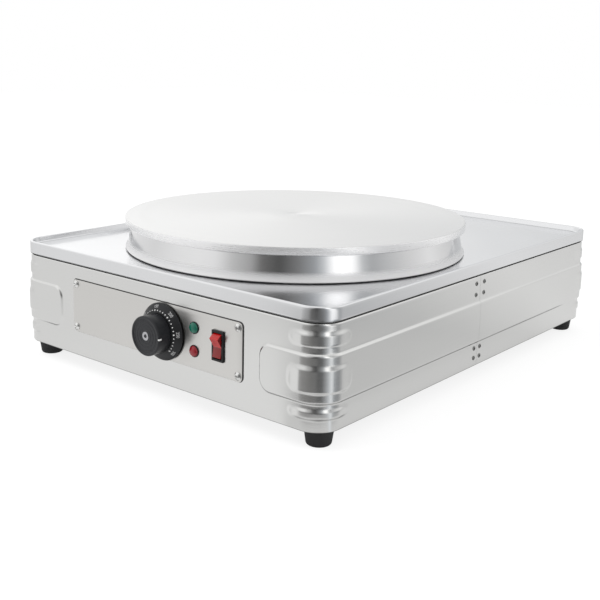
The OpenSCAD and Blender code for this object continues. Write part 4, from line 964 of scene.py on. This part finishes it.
# Red rocker with a valley across its middle, tilted to its rest position, top end out
pivot = Vector(next(j for j in frame["joints"] if j["name"] == "rocker_press")["pos_m"]) / MM
half_w = (high.x - low.x) / 2 - 2.3
top = degrees(acos((ROCKER_MID + ROCKER_TIP) / ROCKER_R))
valley = [(-ROCKER_MID - ROCKER_TIP * abs(t) ** 1.15, -t * ROCKER_R * sin(radians(top)))
          for t in (-0.98 + 1.96 * i / 16 for i in range(17))]
loop = arc(0, 0, ROCKER_R, 68, 180 - top, 10) + valley + arc(0, 0, ROCKER_R, 180 + top, 292, 10)
verts, faces = skin([[(x, u, v) for u, v in loop] for x in (-half_w, half_w)])
faces += [range(len(loop)), range(len(loop), 2 * len(loop))]
rocker = mesh_object("switch_rocker", verts, faces, at(*pivot, ROCKER_TILT))
finish_mesh(soften(rocker, 0.5, 3, 40))
pin = rod("pin", PIN_R, 2 * half_w + 1.8, 24, at(pivot.x - half_w - 0.9, pivot.y, pivot.z, 90, "Y"))
# The rocker's lower half and its sides take a deeper red: painted shade.
dress(join("switch_rocker_red", [rocker, pin]), 40, "rocker_red", "rocker_button",
      ("rocker_red", "rocker_deep"), "rocker",
      lambda middle, normal: middle.z < pivot.z - 1 or abs(normal.x) > 0.7)


# ----- rivets -----

RIVET_R, RIVET_H, MANDREL_R = 2.6, 1, 1.1
UPPER_APART, LOWER_APART = 8.5, 6.3  # distance from the seam

# Blind rivets: a domed head with the broken mandrel in its middle
low, high = box("seam_rivets")
top, base = high.z - RIVET_R, low.z + RIVET_R
rows = (top, UPPER_APART), (top - 12.5, UPPER_APART), (base + 11, LOWER_APART), (base, LOWER_APART)
places = [(z, side * apart) for z, apart in rows for side in (-1, 1)]
profile = [(0, -1.9), (1.6, -1.9), (1.6, 0), (RIVET_R, 0), (RIVET_R, 0.15), (RIVET_R - 0.35, 0.5),
           (RIVET_R - 0.9, 0.82), (1.5, RIVET_H), (MANDREL_R + 0.15, RIVET_H - 0.05), (MANDREL_R, 0.6),
           (MANDREL_R - 0.25, 0.45), (MANDREL_R - 0.5, 0.62), (0, 0.5)]
rivets = [lathe("rivet", profile, 32, at(side * WALL_X, SEAM_Y + along, z, side * 90, "Y"))
          for side in (-1, 1) for z, along in places]
# The mandrel and the dip round it are dark: the mandrel's own colour and painted shade.
dress(join("seam_blind_rivets", rivets), 34, "fastener_steel", "seam_rivets", ("rivet_steel", "mandrel"),
      paint=lambda middle, normal: min(dist((middle.z, middle.y - SEAM_Y), p) for p in places) < MANDREL_R)


# ----- feet -----

FOOT_LOW_R, FOOT_ROUND, RECESS_R, SCREW_R = 12.5, 3, 6.5, 2.55

for node in ("foot_front_left", "foot_front_right", "foot_rear_left", "foot_rear_right"):
    # Rubber foot: tapered, with a soft lower edge, a moulded bead at the top and a screw recess
    (low, high), middle = box(node), middle_of(node)
    top_r, height = (high.x - low.x) / 2, high.z - low.z
    profile = [(RECESS_R, 0), (FOOT_LOW_R - FOOT_ROUND - 1, 0)]
    profile += arc(FOOT_LOW_R - FOOT_ROUND, FOOT_ROUND, FOOT_ROUND, -90, -10, 8)
    profile += [(FOOT_LOW_R + 1.6, height - 4.2), (top_r - 0.7, height - 3.2), (top_r - 0.1, height - 2.8),
                (top_r, height - 2.2), (top_r, height - 0.6), (top_r - 0.4, height - 0.1),
                (top_r - 0.9, height), (SCREW_R, height), (SCREW_R, height * 0.45), (RECESS_R, height * 0.45)]
    foot = lathe("rubber_" + node, profile, 64, at(middle.x, middle.y, low.z))
    dress(foot, 40, "rubber_black", node)


# ----- stage, light and camera -----

AIM_DEG, TILT_DEG, ROLL_DEG = 39.28, 11.12, 1.27  # the camera's heading from +Y, its fall and its roll
CAMERA_PLACE = (0.71037, -0.91526, 0.3549)
CAMERA_LENS, CAMERA_SHIFT_Y = 56.84, -0.1

FLOOR_SIZE, FLOOR_GLOW = 12, 1.17
FLOOR_SHADOW = 0.3  # share of the floor's look that is lit and takes the shadow
AMBIENT = 0.72  # the light that matt surfaces get from all round
NEAR_LIGHT, NEAR_FROM, NEAR_TO = 0.78, 0.06, 0.1  # the white floor close to the housing, as metal shows it
UNDER_LIGHT, UNDER_REACH = 0.35, 0.03  # in metal the floor is painted darker towards the housing and beneath it: painted shadow
CORNER_PIVOT = (0.2, -0.26)  # close to the housing the floor's stretches fan out from here
FAR_FROM, FAR_TO = 0.36, 0.5  # farther from that corner the far stretches take over
OVERHEAD, OVERHEAD_FROM, OVERHEAD_TO = 0.92, 0.6, 0.92
RAISED_GAIN, RAISED_LOW, RAISED_HIGH = 0.25, 0.04, 0.3  # the studio is lighter above the horizon
# What metal shows: heading in degrees from -Y towards +X, brightness and, if not grey, warmth.
FAR = [
    (-180, 0.62, -0.012), (-160, 0.64, -0.012), (-140, 0.9), (-124, 1.02), (-100, 0.9), (-67, 0.8),
    (-45, 0.88), (-28, 0.88), (-14, 0.82), (-8, 0.7), (-2, 0.54), (11, 0.38), (18, 0.15, 0.01), (30, 0.08),
    (42, 0.19, -0.01), (53, 0.34, -0.04), (59, 0.6, -0.03), (65, 1.15), (72, 1.3), (79, 1.1),
    (84, 0.58, -0.02), (91, 0.42, -0.02), (104, 0.56, -0.01), (120, 0.72), (140, 0.9), (158, 0.78),
    (180, 0.62, -0.012),
]
CORNER = [
    (-180, 0.75), (-150, 0.8), (-60, 0.94), (-42, 0.94), (-38, 0.78), (-32, 0.42), (-20, 0.3, 0.01),
    (-8, 0.27, 0.01), (4, 0.24, 0.01), (16, 0.22, 0.01), (28, 0.21), (39, 0.14, -0.01), (51, 0.15, -0.02),
    (62, 0.33, -0.03), (70, 0.5, -0.04), (77, 0.68, -0.04), (83, 0.92, -0.03), (89, 0.88, -0.03),
    (96, 0.44, -0.05), (104, 0.36, -0.04), (115, 0.33, -0.03), (126, 0.5, -0.01), (134, 0.66), (150, 0.68),
    (166, 0.71), (180, 0.72),
]


def build_world():
    g = Graph(bpy.data.worlds.new("studio"), empty=True)
    bpy.context.scene.world = g.owner
    x, y, z = g.add("SeparateXYZ", {"Vector": g.add("TexCoord", output="Generated")})
    gain = g.ease(z, RAISED_LOW, RAISED_HIGH, 1, 1 + RAISED_GAIN)
    lit = g.add("VectorMath", {0: g.around(x, y, FAR), "Scale": gain}, "Vector", operation="SCALE")
    mirrored = g.mix(g.ease(z, OVERHEAD_FROM, OVERHEAD_TO), lit, OVERHEAD / STUDIO_TOP)
    rays = g.add("LightPath")
    seen = g.math("MAXIMUM", rays["Is Camera Ray"], rays["Is Transmission Ray"])
    glossy = rays["Is Glossy Ray"]
    strength = g.mix(glossy, g.mix(seen, AMBIENT, 1), STUDIO_TOP)
    back = g.add("Background", {"Color": g.mix(glossy, 1, mirrored), "Strength": strength}, "Background")
    g.add("OutputWorld", {"Surface": back})


def build_floor():
    """White floor that keeps a soft shadow. In metal it shows the studio's bright and dark stretches."""
    half = FLOOR_SIZE / 2 / MM
    floor = mesh_object("studio_floor", [(sx * half, sy * half, 0) for sx, sy in CORNER_SIGNS], [(0, 1, 2, 3)])
    g = Graph(bpy.data.materials.new("studio_floor"), empty=True)
    x, y, _ = g.add("SeparateXYZ", {"Vector": g.add("TexCoord", output="Object")})
    from_corner = [g.math("SUBTRACT", axis, pivot) for axis, pivot in zip((x, y), CORNER_PIVOT)]
    apart = g.ease(g.length(from_corner), FAR_FROM, FAR_TO)
    fan = g.mix(apart, g.around(*from_corner, CORNER), g.around(x, y, FAR))
    away = g.length([g.math("MAXIMUM", g.math("SUBTRACT", g.math("ABSOLUTE", axis), half_size * MM), 0)
                     for axis, half_size in ((x, WALL_X), (y, WALL_Y))])
    near = g.ease(away, NEAR_FROM, NEAR_TO, NEAR_LIGHT / STUDIO_TOP, 0)

    def either(factor, a, b):
        return g.add("MixShader", {"Fac": factor, 1: a, 2: b}, "Shader")

    rays = g.add("LightPath")
    matt = g.add("BsdfDiffuse", {"Color": (0.9, 0.9, 0.9, 1)}, "BSDF")
    seen = either(FLOOR_SHADOW, g.add("Emission", {"Strength": FLOOR_GLOW}, "Emission"), matt)
    shown = g.mix(1, fan, near, blend_type="LIGHTEN")
    # In metal the floor shows a painted shadow next to and under the housing.
    strength = g.ease(away, 0, UNDER_REACH, UNDER_LIGHT * STUDIO_TOP, STUDIO_TOP)
    mirrored = g.add("Emission", {"Color": shown, "Strength": strength}, "Emission")
    surface = either(rays["Is Glossy Ray"], either(rays["Is Camera Ray"], matt, seen), mirrored)
    g.add("OutputMaterial", {"Surface": surface})
    floor.data.materials.append(g.owner)


def area_light(name, place, size, power):
    """Light that faces the object and doesn't show in metal."""
    data = bpy.data.lights.new(name, "AREA")
    data.energy, data.size = power, size
    lamp = new_object(name, data)
    lamp.location, lamp.visible_glossy = place, False
    lamp.rotation_euler = (Vector((0, 0, 0.1)) - Vector(place)).to_track_quat("-Z", "Y").to_euler()


def build_camera():
    aim, tilt, roll = (radians(a) for a in (AIM_DEG, TILT_DEG, ROLL_DEG))
    ahead = Vector((-sin(aim) * cos(tilt), cos(aim) * cos(tilt), -sin(tilt)))
    right = Vector((cos(aim), sin(aim), 0))
    up = right.cross(ahead)
    right, up = right * cos(roll) + up * sin(roll), up * cos(roll) - right * sin(roll)
    data = bpy.data.cameras.new("camera")
    data.lens, data.sensor_width, data.shift_y = CAMERA_LENS, 36, CAMERA_SHIFT_Y
    camera = new_object("camera", data)
    camera.matrix_world = Matrix.Translation(CAMERA_PLACE) @ Matrix((right, up, -ahead)).transposed().to_4x4()
    bpy.context.scene.camera = camera


build_world()
build_floor()
area_light("key", (-1.2, -1.4, 2.2), 1.8, 26)
area_light("fill", (2.2, 0.4, 1.6), 1.6, 10)
build_camera()
bpy.context.scene.view_settings.view_transform = "Standard"
